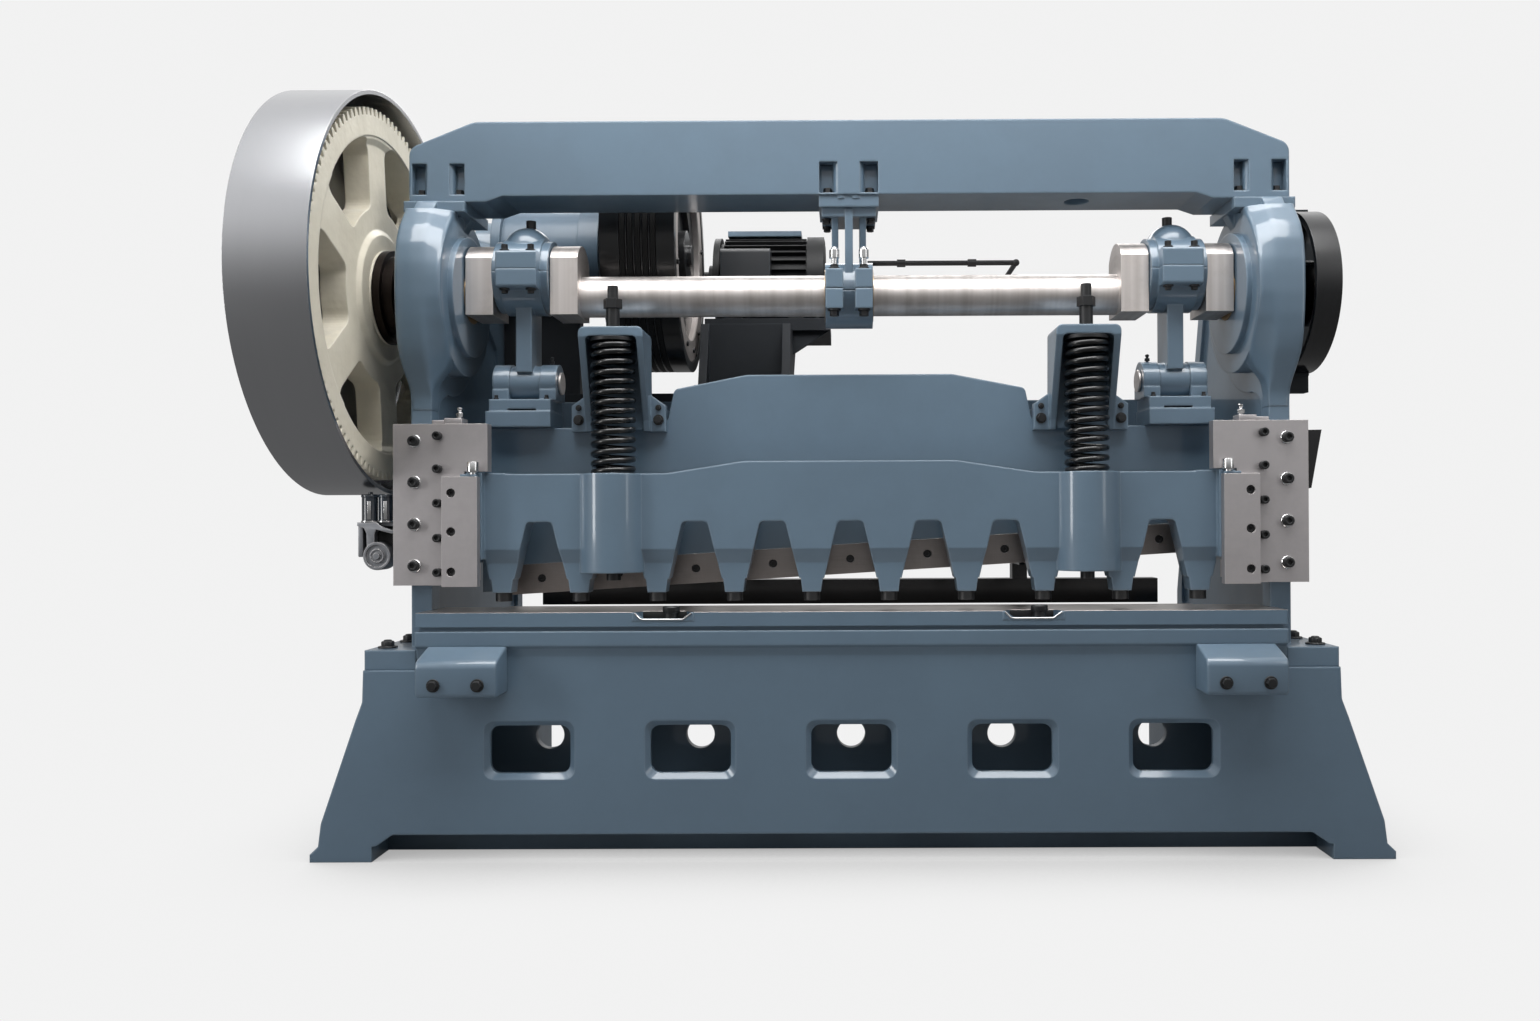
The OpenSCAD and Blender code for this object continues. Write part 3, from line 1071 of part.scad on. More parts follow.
base();
table();
lower_blade();
table_bolts();
side_frame_left();
side_frame_right();
foot_bolts();
top_beam();
top_beam_bolts();
main_bushes();
centre_hanger();
centre_cap();
hanger_bolts();
grease_cups();
guide_plate_left();
guide_plate_right();
guide_plate_bolts();
rear_gibs();
arm_brackets();
arm_bracket_bolts();
rear_crossbeam();
gear_cover();
motor_pedestal();
motor_housing();
motor_terminal_box();
flywheel_shaft_housing();
drive_belts();
brake_band();
switch_box();
lubricator();
oil_pipe();
crankshaft();
brake_drum();
conrod_left();
conrod_right();
conrod_cap_left();
conrod_cap_right();
conrod_bolts_left();
conrod_bolts_right();
ram();
upper_blade();
upper_blade_bolts();
saddle_left();
saddle_right();
wrist_pins();
saddle_bolts();
yoke_left();
yoke_right();
yoke_screws();
gauge_rails();
hold_down_beam();
hold_down_pads();
spring_left();
spring_right();
back_gauge();
gauge_screw_left();
gauge_screw_right();
drive_gear();
flywheel();
motor_pulley();
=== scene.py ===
"""Looks of a mechanical guillotine shear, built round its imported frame.

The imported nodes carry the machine's real shapes. This script gives each of them a finish, and makes
the pieces that need finer surfaces: springs, cast bearing heads, brackets, the motor's fan cowl, the
lubricator, the hand pockets, screws and nipples. Every length is in metres, in the machine's own
frame: x runs along the blades, y away from the operator and z up.
"""
import logging
import math
from dataclasses import dataclass
from enum import Enum
from typing import Sequence

import bpy
import numpy as np
from mathutils import Matrix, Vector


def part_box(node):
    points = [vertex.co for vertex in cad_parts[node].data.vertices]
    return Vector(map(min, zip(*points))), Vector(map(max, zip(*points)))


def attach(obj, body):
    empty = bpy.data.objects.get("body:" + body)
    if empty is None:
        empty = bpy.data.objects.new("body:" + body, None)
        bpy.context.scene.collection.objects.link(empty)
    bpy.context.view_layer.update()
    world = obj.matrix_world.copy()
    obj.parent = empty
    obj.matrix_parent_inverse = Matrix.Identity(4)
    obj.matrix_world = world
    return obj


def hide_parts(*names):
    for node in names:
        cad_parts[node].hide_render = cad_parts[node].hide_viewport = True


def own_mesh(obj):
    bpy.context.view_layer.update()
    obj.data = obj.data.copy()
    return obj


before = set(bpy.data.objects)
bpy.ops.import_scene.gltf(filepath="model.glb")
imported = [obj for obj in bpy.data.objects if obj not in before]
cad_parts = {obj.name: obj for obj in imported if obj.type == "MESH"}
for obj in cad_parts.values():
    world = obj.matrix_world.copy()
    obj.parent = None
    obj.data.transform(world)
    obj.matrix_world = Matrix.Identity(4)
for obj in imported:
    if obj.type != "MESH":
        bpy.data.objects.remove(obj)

log = logging.getLogger("guillotine_shear")

Vector3 = tuple[float, float, float]
Socket = bpy.types.NodeSocket

# Axes of the crankshaft, the flywheel's shaft and the motor, which all run along x
CRANK_Y, CRANK_Z = -0.288, 1.660
PINION_Y, PINION_Z = 0.299, 1.915
MOTOR_Y, MOTOR_Z = 0.850, 1.928

UP: Vector3 = (0.0, 0.0, 1.0)
RIGHT: Vector3 = (1.0, 0.0, 0.0)
SIDES = (-1, 1)

# Points along a rounded edge, along a rounded corner, and along the bigger corners of the bearing heads
EDGE_POINTS = 4
CORNER_POINTS = 5
HEAD_POINTS = 7


class Axis(Enum):
    """Direction along which an outline is carried."""

    X = 0
    Y = 1
    Z = 2


def linear(code: str) -> tuple[float, float, float, float]:
    """Turn a colour code into linear light.

    Args:
        code: Six hexadecimal digits, red first.

    Returns:
        Red, green, blue and an opacity of one.
    """
    parts = [int(code[i:i + 2], 16) / 255 for i in (0, 2, 4)]
    red, green, blue = (p / 12.92 if p <= 0.04045 else ((p + 0.055) / 1.055) ** 2.4 for p in parts)
    return (red, green, blue, 1.0)


class Sheet:
    """Short calls for the nodes and links of one node tree."""

    def __init__(self, tree: bpy.types.NodeTree) -> None:
        """Keep the tree that the nodes go into."""
        self.tree = tree

    def link(self, source: Socket, target: Socket) -> None:
        """Join an output to an input."""
        self.tree.links.new(source, target)

    def add(self, kind: str, inputs: dict | None = None, **settings: object) -> bpy.types.Node:
        """Add one node.

        Args:
            kind: Node type, without its Shader prefix.
            inputs: Socket name or index to a value, or to the socket that feeds it.
            **settings: Properties of the node.

        Returns:
            The new node.
        """
        node = self.tree.nodes.new(kind if kind.startswith("Node") else "ShaderNode" + kind)
        for name, value in settings.items():
            setattr(node, name, value)
        for name, value in (inputs or {}).items():
            if isinstance(value, Socket):
                self.link(value, node.inputs[name])
            else:
                node.inputs[name].default_value = value
        return node

    def math(self, operation: str, first: object, second: object, clamp: bool = False) -> Socket:
        """Add a Math node and return its result."""
        return self.add("Math", {0: first, 1: second}, operation=operation, use_clamp=clamp).outputs[0]

    def part(self, vector: object, name: str) -> Socket:
        """Take one component of a vector."""
        return self.add("SeparateXYZ", {0: vector}).outputs[name]

    def ramp(self, value: object, low: float, high: float, out_low: float = 0.0,
             out_high: float = 1.0) -> Socket:
        """Add a smooth Map Range node and return its result.

        Args:
            value: What is mapped.
            low: The value that gives out_low.
            high: The value that gives out_high.
            out_low: Result at low and below.
            out_high: Result at high and above.

        Returns:
            The result, eased at both ends.
        """
        node = self.add("MapRange", {"Value": value, "From Min": low, "From Max": high,
                                     "To Min": out_low, "To Max": out_high}, interpolation_type="SMOOTHSTEP")
        return node.outputs["Result"]

    def between(self, factor: object, first: object, second: object) -> Socket:
        """Mix two values."""
        return self.add("Mix", {"Factor": factor, "A": first, "B": second}, data_type="FLOAT").outputs[0]

    def blend(self, factor: object, first: object, second: object) -> Socket:
        """Mix two colours.

        Args:
            factor: Share of the second colour.
            first: The first colour.
            second: The second colour.

        Returns:
            The mixed colour.
        """
        factor_in, first_in, second_in, result = 0, 6, 7, 2
        node = self.add("Mix", {factor_in: factor, first_in: first, second_in: second}, data_type="RGBA")
        return node.outputs[result]

    def tint(self, colour: object, mask: Socket, amount: float, code: str) -> Socket:
        """Mix a colour with a coded one, by a mask times an amount."""
        return self.blend(self.math("MULTIPLY", mask, amount), colour, linear(code))

    def noise(self, vector: object, scale: float, detail: float = 3.0, roughness: float = 0.5) -> Socket:
        """Add a Noise Texture and return its value.

        Args:
            vector: Where it is read.
            scale: How often it changes in a metre.
            detail: Number of finer layers.
            roughness: What share each layer keeps.

        Returns:
            A value between zero and one.
        """
        node = self.add("TexNoise", {"Vector": vector, "Scale": scale, "Detail": detail,
                                     "Roughness": roughness})
        return node.outputs["Fac"]

    def stretched(self, vector: object, scale: Vector3, centre: Vector3 = (0, 0, 0)) -> Socket:
        """Centre a vector, then scale it along each axis."""
        moved = self.add("VectorMath", {0: vector, 1: centre}, operation="SUBTRACT")
        return self.add("VectorMath", {0: moved.outputs[0], 1: scale}, operation="MULTIPLY").outputs[0]

    def relief(self, shader: bpy.types.Node, height: Socket, normal: Socket, depth: float,
               strength: float) -> None:
        """Raise a surface by a height map over its rounded normal.

        Args:
            shader: The shader that gets the new normal.
            height: The height map.
            normal: The normal before it.
            depth: Length of a full step of height.
            strength: Share of the relief that is kept.
        """
        bump = self.add("Bump", {"Height": height, "Normal": normal, "Distance": depth, "Strength": strength})
        self.link(bump.outputs[0], shader.inputs["Normal"])


class Effects:
    """Node groups that several finishes share."""

    def __init__(self) -> None:
        """Build each group once."""
        self.cast = self._cast()
        self.dust_and_shading = self._dust_and_shading()
        self.ground = self._ground()
        self.turned = self._turned()

    @staticmethod
    def _group(name: str, results: Sequence[str],
               **values: float) -> tuple[Sheet, bpy.types.Node, bpy.types.Node]:
        """Start a group that takes a place.

        Args:
            name: The group's name.
            results: Names of its outputs, which are all values.
            **values: Name and default of each input beside the place.

        Returns:
            The group's sheet, its input node and its output node.
        """
        tree = bpy.data.node_groups.new(name, "ShaderNodeTree")
        tree.interface.new_socket("Vector", in_out="INPUT", socket_type="NodeSocketVector")
        for label, value in values.items():
            socket = tree.interface.new_socket(label, in_out="INPUT", socket_type="NodeSocketFloat")
            socket.default_value = value
        for label in results:
            tree.interface.new_socket(label, in_out="OUTPUT", socket_type="NodeSocketFloat")
        sheet = Sheet(tree)
        return sheet, sheet.add("NodeGroupInput"), sheet.add("NodeGroupOutput")

    def _cast(self) -> bpy.types.NodeTree:
        """Painted casting: slow waves of the sand mould, fine orange peel, and brush-like mottle.

        Returns:
            The group's node tree.
        """
        sheet, given, out = self._group("CastSurface", ["Height", "Mottle"], Waves=9.0, Peel=420.0)
        vector = given.outputs["Vector"]
        waves = sheet.add("TexNoise", {"Vector": vector, "Scale": given.outputs["Waves"], "Detail": 2.0})
        peel = sheet.add("TexNoise", {"Vector": vector, "Scale": given.outputs["Peel"], "Detail": 1.0})
        fine = sheet.math("MULTIPLY", peel.outputs["Fac"], 0.05)
        sheet.link(sheet.math("ADD", waves.outputs["Fac"], fine), out.inputs["Height"])
        sheet.link(sheet.ramp(sheet.noise(vector, 3.1, 5.0, 0.62), 0.32, 0.68), out.inputs["Mottle"])
        return sheet.tree

    def _dust_and_shading(self) -> bpy.types.NodeTree:
        """Shop dust on faces that look up, broken by noise, and a painted shade that darkens the paint
        towards the floor.

        Returns:
            The group's node tree.
        """
        sheet, given, out = self._group("ShopDustAndPaintedShade", ["Dust", "PaintedLowShade"])
        place = given.outputs["Vector"]
        up = sheet.ramp(sheet.part(sheet.add("NewGeometry").outputs["Normal"], "Z"), 0.55, 0.98)
        patches = sheet.ramp(sheet.noise(place, 11.0, 6.0, 0.65), 0.35, 0.75)
        sheet.link(sheet.math("MULTIPLY", up, patches), out.inputs["Dust"])
        # Painted shade: full at the floor, fading out by 0.9 m up
        sheet.link(sheet.ramp(sheet.part(place, "Z"), 0.9, 0.0), out.inputs["PaintedLowShade"])
        return sheet.tree

    def _ground(self) -> bpy.types.NodeTree:
        """Ground plate: fine straight scratches two ways, over stains of old oil.

        Returns:
            The group's node tree.
        """
        sheet, given, out = self._group("GroundMarks", ["Scratch", "Stain"])
        vector = given.outputs["Vector"]
        one = sheet.noise(sheet.stretched(vector, (14.0, 90.0, 1500.0)), 1.0, 2.0)
        two = sheet.noise(sheet.stretched(vector, (1200.0, 90.0, 16.0)), 1.0, 2.0)
        both = sheet.math("ADD", sheet.math("MULTIPLY", one, 0.6), sheet.math("MULTIPLY", two, 0.4))
        sheet.link(both, out.inputs["Scratch"])
        sheet.link(sheet.ramp(sheet.noise(vector, 5.0, 7.0, 0.60), 0.36, 0.74), out.inputs["Stain"])
        return sheet.tree

    def _turned(self) -> bpy.types.NodeTree:
        """Turned about x: rings that follow the distance along x on a barrel, and the radius on a face.

        Returns:
            The group's node tree.
        """
        sheet, given, out = self._group("TurnedMarks", ["Ring", "Band"], Pitch=380.0)
        x, y, z = (sheet.part(given.outputs["Vector"], name) for name in "XYZ")
        flat = sheet.add("CombineXYZ", {"Y": y, "Z": z})
        radius = sheet.add("VectorMath", {0: flat.outputs[0]}, operation="LENGTH").outputs["Value"]
        facing = sheet.math("ABSOLUTE", sheet.part(sheet.add("NewGeometry").outputs["Normal"], "X"), 0.0)
        way = sheet.between(sheet.ramp(facing, 0.6, 0.8), x, radius)
        thin = sheet.add("CombineXYZ", {"X": sheet.math("MULTIPLY", way, given.outputs["Pitch"]),
                                        "Y": sheet.math("MULTIPLY", y, 2.0),
                                        "Z": sheet.math("MULTIPLY", z, 2.0)})
        sheet.link(sheet.noise(thin.outputs[0], 1.0, 3.0, 0.6), out.inputs["Ring"])
        wide = sheet.add("CombineXYZ", {"X": sheet.math("MULTIPLY", way, 16.0)})
        band = sheet.noise(wide.outputs[0], 1.0, 3.0, 0.6)
        sheet.link(sheet.ramp(band, 0.35, 0.65), out.inputs["Band"])
        return sheet.tree


@dataclass(frozen=True)
class Finish:
    """What every finish has: a name, its colour, the record's slot, and how rough and rounded it is."""

    name: str
    colour: str
    slot: str = ""
    roughness: float = 0.35
    edge: float = 0.003

    def start(self) -> tuple[bpy.types.Material, Sheet, bpy.types.Node, Socket]:
        """Make the material with its shader.

        Returns:
            The material, its sheet, the shader node and the object's coordinates.
        """
        material = bpy.data.materials.new(self.name)
        material.use_nodes = True
        material.node_tree.nodes.clear()
        sheet = Sheet(material.node_tree)
        shader = sheet.add("BsdfPrincipled", {"Base Color": linear(self.colour), "Roughness": self.roughness})
        sheet.add("OutputMaterial", {"Surface": shader.outputs[0]})
        return material, sheet, shader, sheet.add("TexCoord").outputs["Object"]

    def rounded(self, sheet: Sheet) -> tuple[Socket, Socket]:
        """Round the edges by their normals.

        Args:
            sheet: The material's sheet.

        Returns:
            The rounded normal, and a mask that is one along the edges.
        """
        bevel = sheet.add("Bevel", {"Radius": self.edge}, samples=6)
        true = sheet.add("NewGeometry").outputs["True Normal"]
        turn = sheet.add("VectorMath", {0: bevel.outputs[0], 1: true}, operation="DOT_PRODUCT")
        return bevel.outputs[0], sheet.ramp(turn.outputs["Value"], 0.995, 0.90)

    def build(self, effects: Effects) -> bpy.types.Material:
        """Make the material; each finish has its own way."""
        raise NotImplementedError(self.name)


@dataclass(frozen=True)
class Enamel(Finish):
    """Paint over a casting or plate, with a painted highlight along its edges and a painted shade towards the
    floor, and of another colour above a height.
    """

    shade: str = "4a5d6e"
    # Painted highlight along the edges: its colour and its share
    edge_highlight_and_wear_colour: str = "8fa3b4"
    edge_highlight_and_wear_amount: float = 0.35
    coat: float = 0.35
    coat_roughness: float = 0.12
    wave: float = 0.0010
    waves: float = 9.0
    peel: float = 420.0
    dust: float = 0.12
    dust_colour: str = "8d9296"
    above: float = 9.0
    above_colour: str = "607586"
    specular: float = 0.5
    mottle: float = 0.30
    mottle_roughness: float = 0.10
    dust_roughness: float = 0.20
    # Share of the painted shade that darkens the paint towards the floor
    painted_low_shade: float = 0.35
    relief: float = 0.6

    def build(self, effects: Effects) -> bpy.types.Material:
        """Make the painted material.

        Args:
            effects: The shared node groups.

        Returns:
            The material.
        """
        material, sheet, shader, place = self.start()
        cast = sheet.add("Group", {"Vector": place, "Waves": self.waves, "Peel": self.peel},
                         node_tree=effects.cast)
        dust_and_shading = sheet.add("Group", {"Vector": place}, node_tree=effects.dust_and_shading)
        normal, edge = self.rounded(sheet)
        high = sheet.math("GREATER_THAN", sheet.part(place, "Z"), self.above)
        colour = sheet.blend(high, linear(self.colour), linear(self.above_colour))
        colour = sheet.tint(colour, cast.outputs["Mottle"], self.mottle, self.shade)
        # Painted shade: darker towards the floor, as the overhead light falls off
        colour = sheet.tint(colour, dust_and_shading.outputs["PaintedLowShade"], self.painted_low_shade, self.shade)
        # Painted highlight: the paint is lightened along its edges
        colour = sheet.tint(colour, edge, self.edge_highlight_and_wear_amount, self.edge_highlight_and_wear_colour)
        colour = sheet.tint(colour, dust_and_shading.outputs["Dust"], self.dust, self.dust_colour)
        sheet.link(colour, shader.inputs["Base Color"])
        rough = sheet.math("ADD", sheet.math("MULTIPLY", cast.outputs["Mottle"], self.mottle_roughness),
                           self.roughness)
        dusty = sheet.math("MULTIPLY", dust_and_shading.outputs["Dust"], self.dust_roughness)
        sheet.link(sheet.math("ADD", rough, dusty, clamp=True), shader.inputs["Roughness"])
        sheet.relief(shader, cast.outputs["Height"], normal, self.wave, self.relief)
        shader.inputs["Specular IOR Level"].default_value = self.specular
        shader.inputs["Coat Weight"].default_value = self.coat
        shader.inputs["Coat Roughness"].default_value = self.coat_roughness
        return material

    @staticmethod
    def lay_bare(material: bpy.types.Material, bare: Socket, metal: Socket, roughness: float) -> None:
        """Let bare metal take the paint's place where a mask is one.

        Args:
            material: The painted material.
            bare: The mask.
            metal: Colour of the metal.
            roughness: Roughness of the metal.
        """
        sheet = Sheet(material.node_tree)
        shader = next(n for n in material.node_tree.nodes if n.type == "BSDF_PRINCIPLED")
        for name, value in (("Base Color", metal), ("Roughness", roughness), ("Metallic", 1.0),
                            ("Coat Weight", 0.0)):
            socket = shader.inputs[name]
            before = socket.links[0].from_socket if socket.is_linked else socket.default_value
            mix = sheet.blend if name == "Base Color" else sheet.between
            sheet.link(mix(bare, before, value), socket)


@dataclass(frozen=True)
class TopOfSteel(Enamel):
    """Gloss paint with its top face, and what lies above a height, ground bright."""

    steel_above: float = 0.7102
    steel: str = "c2bbb7"
    steel_stain: str = "6a625e"
    steel_roughness: float = 0.30
    stain_amount: float = 0.5

    def build(self, effects: Effects) -> bpy.types.Material:
        """Make the paint, then let ground steel take its place above the height.

        Args:
            effects: The shared node groups.

        Returns:
            The material.
        """
        material = super().build(effects)
        sheet = Sheet(material.node_tree)
        place = sheet.add("TexCoord").outputs["Object"]
        marks = sheet.add("Group", {"Vector": place}, node_tree=effects.ground)
        bare = sheet.math("GREATER_THAN", sheet.part(place, "Z"), self.steel_above)
        metal = sheet.tint(linear(self.steel), marks.outputs["Stain"], self.stain_amount, self.steel_stain)
        self.lay_bare(material, bare, metal, self.steel_roughness)
        return material


@dataclass(frozen=True)
class WheelPaint(Enamel):
    """Black paint, with the shaft and the pinion left bare."""

    bare_left_of: float = -1.23
    steel: str = "a8a29e"
    steel_ring: str = "77716d"
    steel_roughness: float = 0.32
    ring_amount: float = 0.4
    pitch: float = 900.0

    def build(self, effects: Effects) -> bpy.types.Material:
        """Make the paint, then let turned steel show on the pinion's end.

        Args:
            effects: The shared node groups.

        Returns:
            The material.
        """
        material = super().build(effects)
        sheet = Sheet(material.node_tree)
        place = sheet.add("TexCoord").outputs["Object"]
        about = sheet.stretched(place, (1, 1, 1), (0, PINION_Y, PINION_Z))
        marks = sheet.add("Group", {"Vector": about, "Pitch": self.pitch}, node_tree=effects.turned)
        bare = sheet.math("LESS_THAN", sheet.part(place, "X"), self.bare_left_of)
        metal = sheet.tint(linear(self.steel), marks.outputs["Ring"], self.ring_amount, self.steel_ring)
        self.lay_bare(material, bare, metal, self.steel_roughness)
        return material


@dataclass(frozen=True)
class GroundSteel(Finish):
    """Ground and lightly oiled steel plate."""

    stain: str = "6e6662"
    metal: float = 0.85
    light: str = "c9c2bd"
    edge_highlight_and_wear_colour: str = "d8d4d0"
    stain_amount: float = 0.45
    light_amount: float = 0.10
    edge_highlight_and_wear_amount: float = 0.7
    scratch_roughness: float = 0.10
    scratch_gloss: float = 0.03
    stain_roughness: float = 0.12
    depth: float = 0.0001
    relief: float = 0.20

    def build(self, effects: Effects) -> bpy.types.Material:
        """Make the ground steel.

        Args:
            effects: The shared node groups.

        Returns:
            The material.
        """
        material, sheet, shader, place = self.start()
        marks = sheet.add("Group", {"Vector": place}, node_tree=effects.ground)
        scratch, stain = marks.outputs["Scratch"], marks.outputs["Stain"]
        normal, edge = self.rounded(sheet)
        colour = sheet.tint(linear(self.colour), stain, self.stain_amount, self.stain)
        colour = sheet.tint(colour, sheet.ramp(scratch, 0.45, 0.62), self.light_amount, self.light)
        colour = sheet.tint(colour, edge, self.edge_highlight_and_wear_amount, self.edge_highlight_and_wear_colour)
        sheet.link(colour, shader.inputs["Base Color"])
        rough = sheet.math("ADD", sheet.math("MULTIPLY", scratch, self.scratch_roughness),
                           self.roughness - self.scratch_gloss)
        rough = sheet.math("ADD", rough, sheet.math("MULTIPLY", stain, self.stain_roughness))
        sheet.link(rough, shader.inputs["Roughness"])
        sheet.relief(shader, scratch, normal, self.depth, self.relief)
        shader.inputs["Metallic"].default_value = self.metal
        return material


@dataclass(frozen=True)
class TurnedMetal(Finish):
    """Metal turned about a line along x, with rings, slow bands of tint, and perhaps one dark collar."""

    band: str = "8a8078"
    centre: tuple[float, float] = (CRANK_Y, CRANK_Z)
    metal: float = 1.0
    pitch: float = 1400.0
    groove: float = 0.20
    band_amount: float = 0.35
    stain: float = 0.35
    light: str = "f0ece8"
    edge_highlight_and_wear_colour: str = "e4e0dc"
    edge_highlight_and_wear_amount: float = 0.4
    ring_light: float = 0.5
    ring_roughness: float = 0.6
    stain_roughness: float = 0.28
    depth: float = 0.0001
    collar: str = "2a2523"
    dark_from: float = -9.0
    dark_to: float = -8.0

    def build(self, effects: Effects) -> bpy.types.Material:
        """Make the turned metal.

        Args:
            effects: The shared node groups.

        Returns:
            The material.
        """
        material, sheet, shader, place = self.start()
        about = sheet.stretched(place, (1, 1, 1), (0, *self.centre))
        marks = sheet.add("Group", {"Vector": about, "Pitch": self.pitch}, node_tree=effects.turned)
        ring = marks.outputs["Ring"]
        normal, edge = self.rounded(sheet)
        colour = sheet.tint(linear(self.colour), marks.outputs["Band"], self.band_amount, self.band)
        colour = sheet.tint(colour, sheet.ramp(ring, 0.40, 0.62), self.ring_light * self.groove, self.light)
        stain = sheet.ramp(sheet.noise(place, 9.0, 6.0, 0.62), 0.45, 0.80)
        colour = sheet.tint(colour, stain, self.stain, self.band)
        colour = sheet.tint(colour, edge, self.edge_highlight_and_wear_amount, self.edge_highlight_and_wear_colour)
        x = sheet.part(place, "X")
        dark = sheet.math("MULTIPLY", sheet.math("GREATER_THAN", x, self.dark_from),
                          sheet.math("LESS_THAN", x, self.dark_to))
        sheet.link(sheet.blend(dark, colour, linear(self.collar)), shader.inputs["Base Color"])
        swing = self.ring_roughness * self.groove
        rough = sheet.math("ADD", sheet.math("MULTIPLY", ring, swing), self.roughness - swing / 2)
        rough = sheet.math("ADD", rough, sheet.math("MULTIPLY", stain, self.stain_roughness * self.stain))
        sheet.link(rough, shader.inputs["Roughness"])
        sheet.relief(shader, ring, normal, self.depth, self.groove)
        shader.inputs["Metallic"].default_value = self.metal
        return material


class Palette:
    """Every finish of the machine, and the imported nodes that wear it."""

    BLUE = Enamel("BlueEnamel", "607586", "blue_paint", roughness=0.36, edge=0.008, shade="4d6071",
                  edge_highlight_and_wear_colour="8b9dab", coat=0.8, coat_roughness=0.08)
    CREAM = Enamel("CreamEnamel", "e9e2d0", roughness=0.42, edge=0.006, shade="a39a84", edge_highlight_and_wear_colour="e9e3d4",
                   edge_highlight_and_wear_amount=0.5, coat=0.1, wave=0.004, waves=26.0, peel=180.0, dust=0.3)
    BLACK_GLOSS = Enamel("BlackEnamel", "0c0d10", roughness=0.16, edge=0.002, shade="0c0d0f",
                         edge_highlight_and_wear_colour="3a3d42", edge_highlight_and_wear_amount=0.25, coat=0.5, wave=0.0006, dust=0.02)
    MOTOR_BLACK = Enamel("MotorEnamel", "0c0d0f", "black_paint", roughness=0.50, edge=0.003, shade="08090a",
                         edge_highlight_and_wear_colour="2b2e32", edge_highlight_and_wear_amount=0.3, coat=0.0, wave=0.0008, dust=0.02,
                         specular=0.30)
    SPRING_BLACK = Enamel("SpringBlack", "060708", "black_paint", roughness=0.24, edge=0.001, shade="0a0b0c",
                          edge_highlight_and_wear_colour="1b1d20", edge_highlight_and_wear_amount=0.2, coat=0.2, coat_roughness=0.06, wave=0.0003,
                          dust=0.0)
    TERMINAL = Enamel("TerminalBoxEnamel", "1a1d21", roughness=0.36, edge=0.007, shade="121417",
                      edge_highlight_and_wear_colour="4b545d", edge_highlight_and_wear_amount=0.3, coat=0.3, dust=0.02, above=2.0955)
    # Painted shade: a darker, duller copy of the blue paint for parts that lie in shade, such as the rear
    # crossbeam, the flywheel shaft's housing, the base sill and the plates behind the springs
    SHADED_BLUE = Enamel("ShadedBlueEnamel", "506373", "blue_paint", roughness=0.45, edge=0.006, shade="41525f",
                         edge_highlight_and_wear_colour="7b8d9c", coat=0.15, coat_roughness=0.15)
    WHEEL = WheelPaint("WheelEnamel", "101114", roughness=0.30, edge=0.004, shade="0c0d0f",
                       edge_highlight_and_wear_colour="3a3d42", edge_highlight_and_wear_amount=0.25, coat=0.4, wave=0.0010, dust=0.02)
    TABLE = TopOfSteel("TableEnamel", "607586", roughness=0.34, edge=0.002, shade="4d6071",
                       edge_highlight_and_wear_colour="8b9dab", coat=0.6, coat_roughness=0.07)
    # Near-black paint: the brake band's own black, and on the motor pedestal a painted shade for the shadow
    # it lies in
    DARK = Enamel("DarkAndShadedEnamel", "171b20", roughness=0.60, shade="12161a", edge_highlight_and_wear_colour="3b454e", coat=0.0,
                  dust=0.03, specular=0.30)
    BLACK_OXIDE = Enamel("BlackOxide", "141517", "black_oxide", roughness=0.38, edge=0.0012, shade="0d0e0f",
                         edge_highlight_and_wear_colour="5a5c60", edge_highlight_and_wear_amount=0.35, coat=0.0, wave=0.0002, waves=60.0, dust=0.08)
    JAR = Enamel("SmokedJar", "1d1f24", "black_paint", roughness=0.16, edge_highlight_and_wear_colour="3c4046", edge_highlight_and_wear_amount=0.25,
                 coat=0.5, coat_roughness=0.04, wave=0.0002, dust=0.0)
    RUBBER = Enamel("BeltRubber", "131313", roughness=0.62, edge=0.0008, shade="0a0a0a", edge_highlight_and_wear_colour="2c2c2c",
                    coat=0.0, wave=0.0002, waves=300.0, peel=900.0, dust=0.5)
    GUIDE_STEEL = GroundSteel("GroundGuideSteel", "b9b5b6", "ground_steel", roughness=0.40, edge=0.0015,
                              stain="8f8b8c")
    BLADE_STEEL = GroundSteel("BladeSteel", "8f8986", roughness=0.34, edge=0.0008, metal=0.95)
    CAST_ALUMINIUM = GroundSteel("CastAluminium", "8b8d92", "cast_aluminium", roughness=0.40, edge=0.002,
                                 stain="5f6368", metal=0.8)
    SHAFT = TurnedMetal("TurnedShaft", "ded8d5", roughness=0.44, edge=0.0015, dark_from=-1.4175,
                        dark_to=-1.3105)
    RING_STEEL = TurnedMetal("WheelRingSteel", "cdc6c2", "crank_steel", roughness=0.50, edge=0.001,
                             band="8a8380", pitch=700.0, centre=(PINION_Y, PINION_Z))
    BRONZE = TurnedMetal("Bronze", "a98a5a", roughness=0.34, edge=0.001, band="8a6b3c")
    BRIGHT = TurnedMetal("Plated", "d9d9d9", "plated_steel", roughness=0.16, edge=0.0008, band="b9b9bb")
    BAND = TurnedMetal("RolledBand", "b3b4b7", roughness=0.24, edge=0.001, band="a6a7aa", pitch=900.0,
                       band_amount=0.12, stain=0.06, groove=0.02)

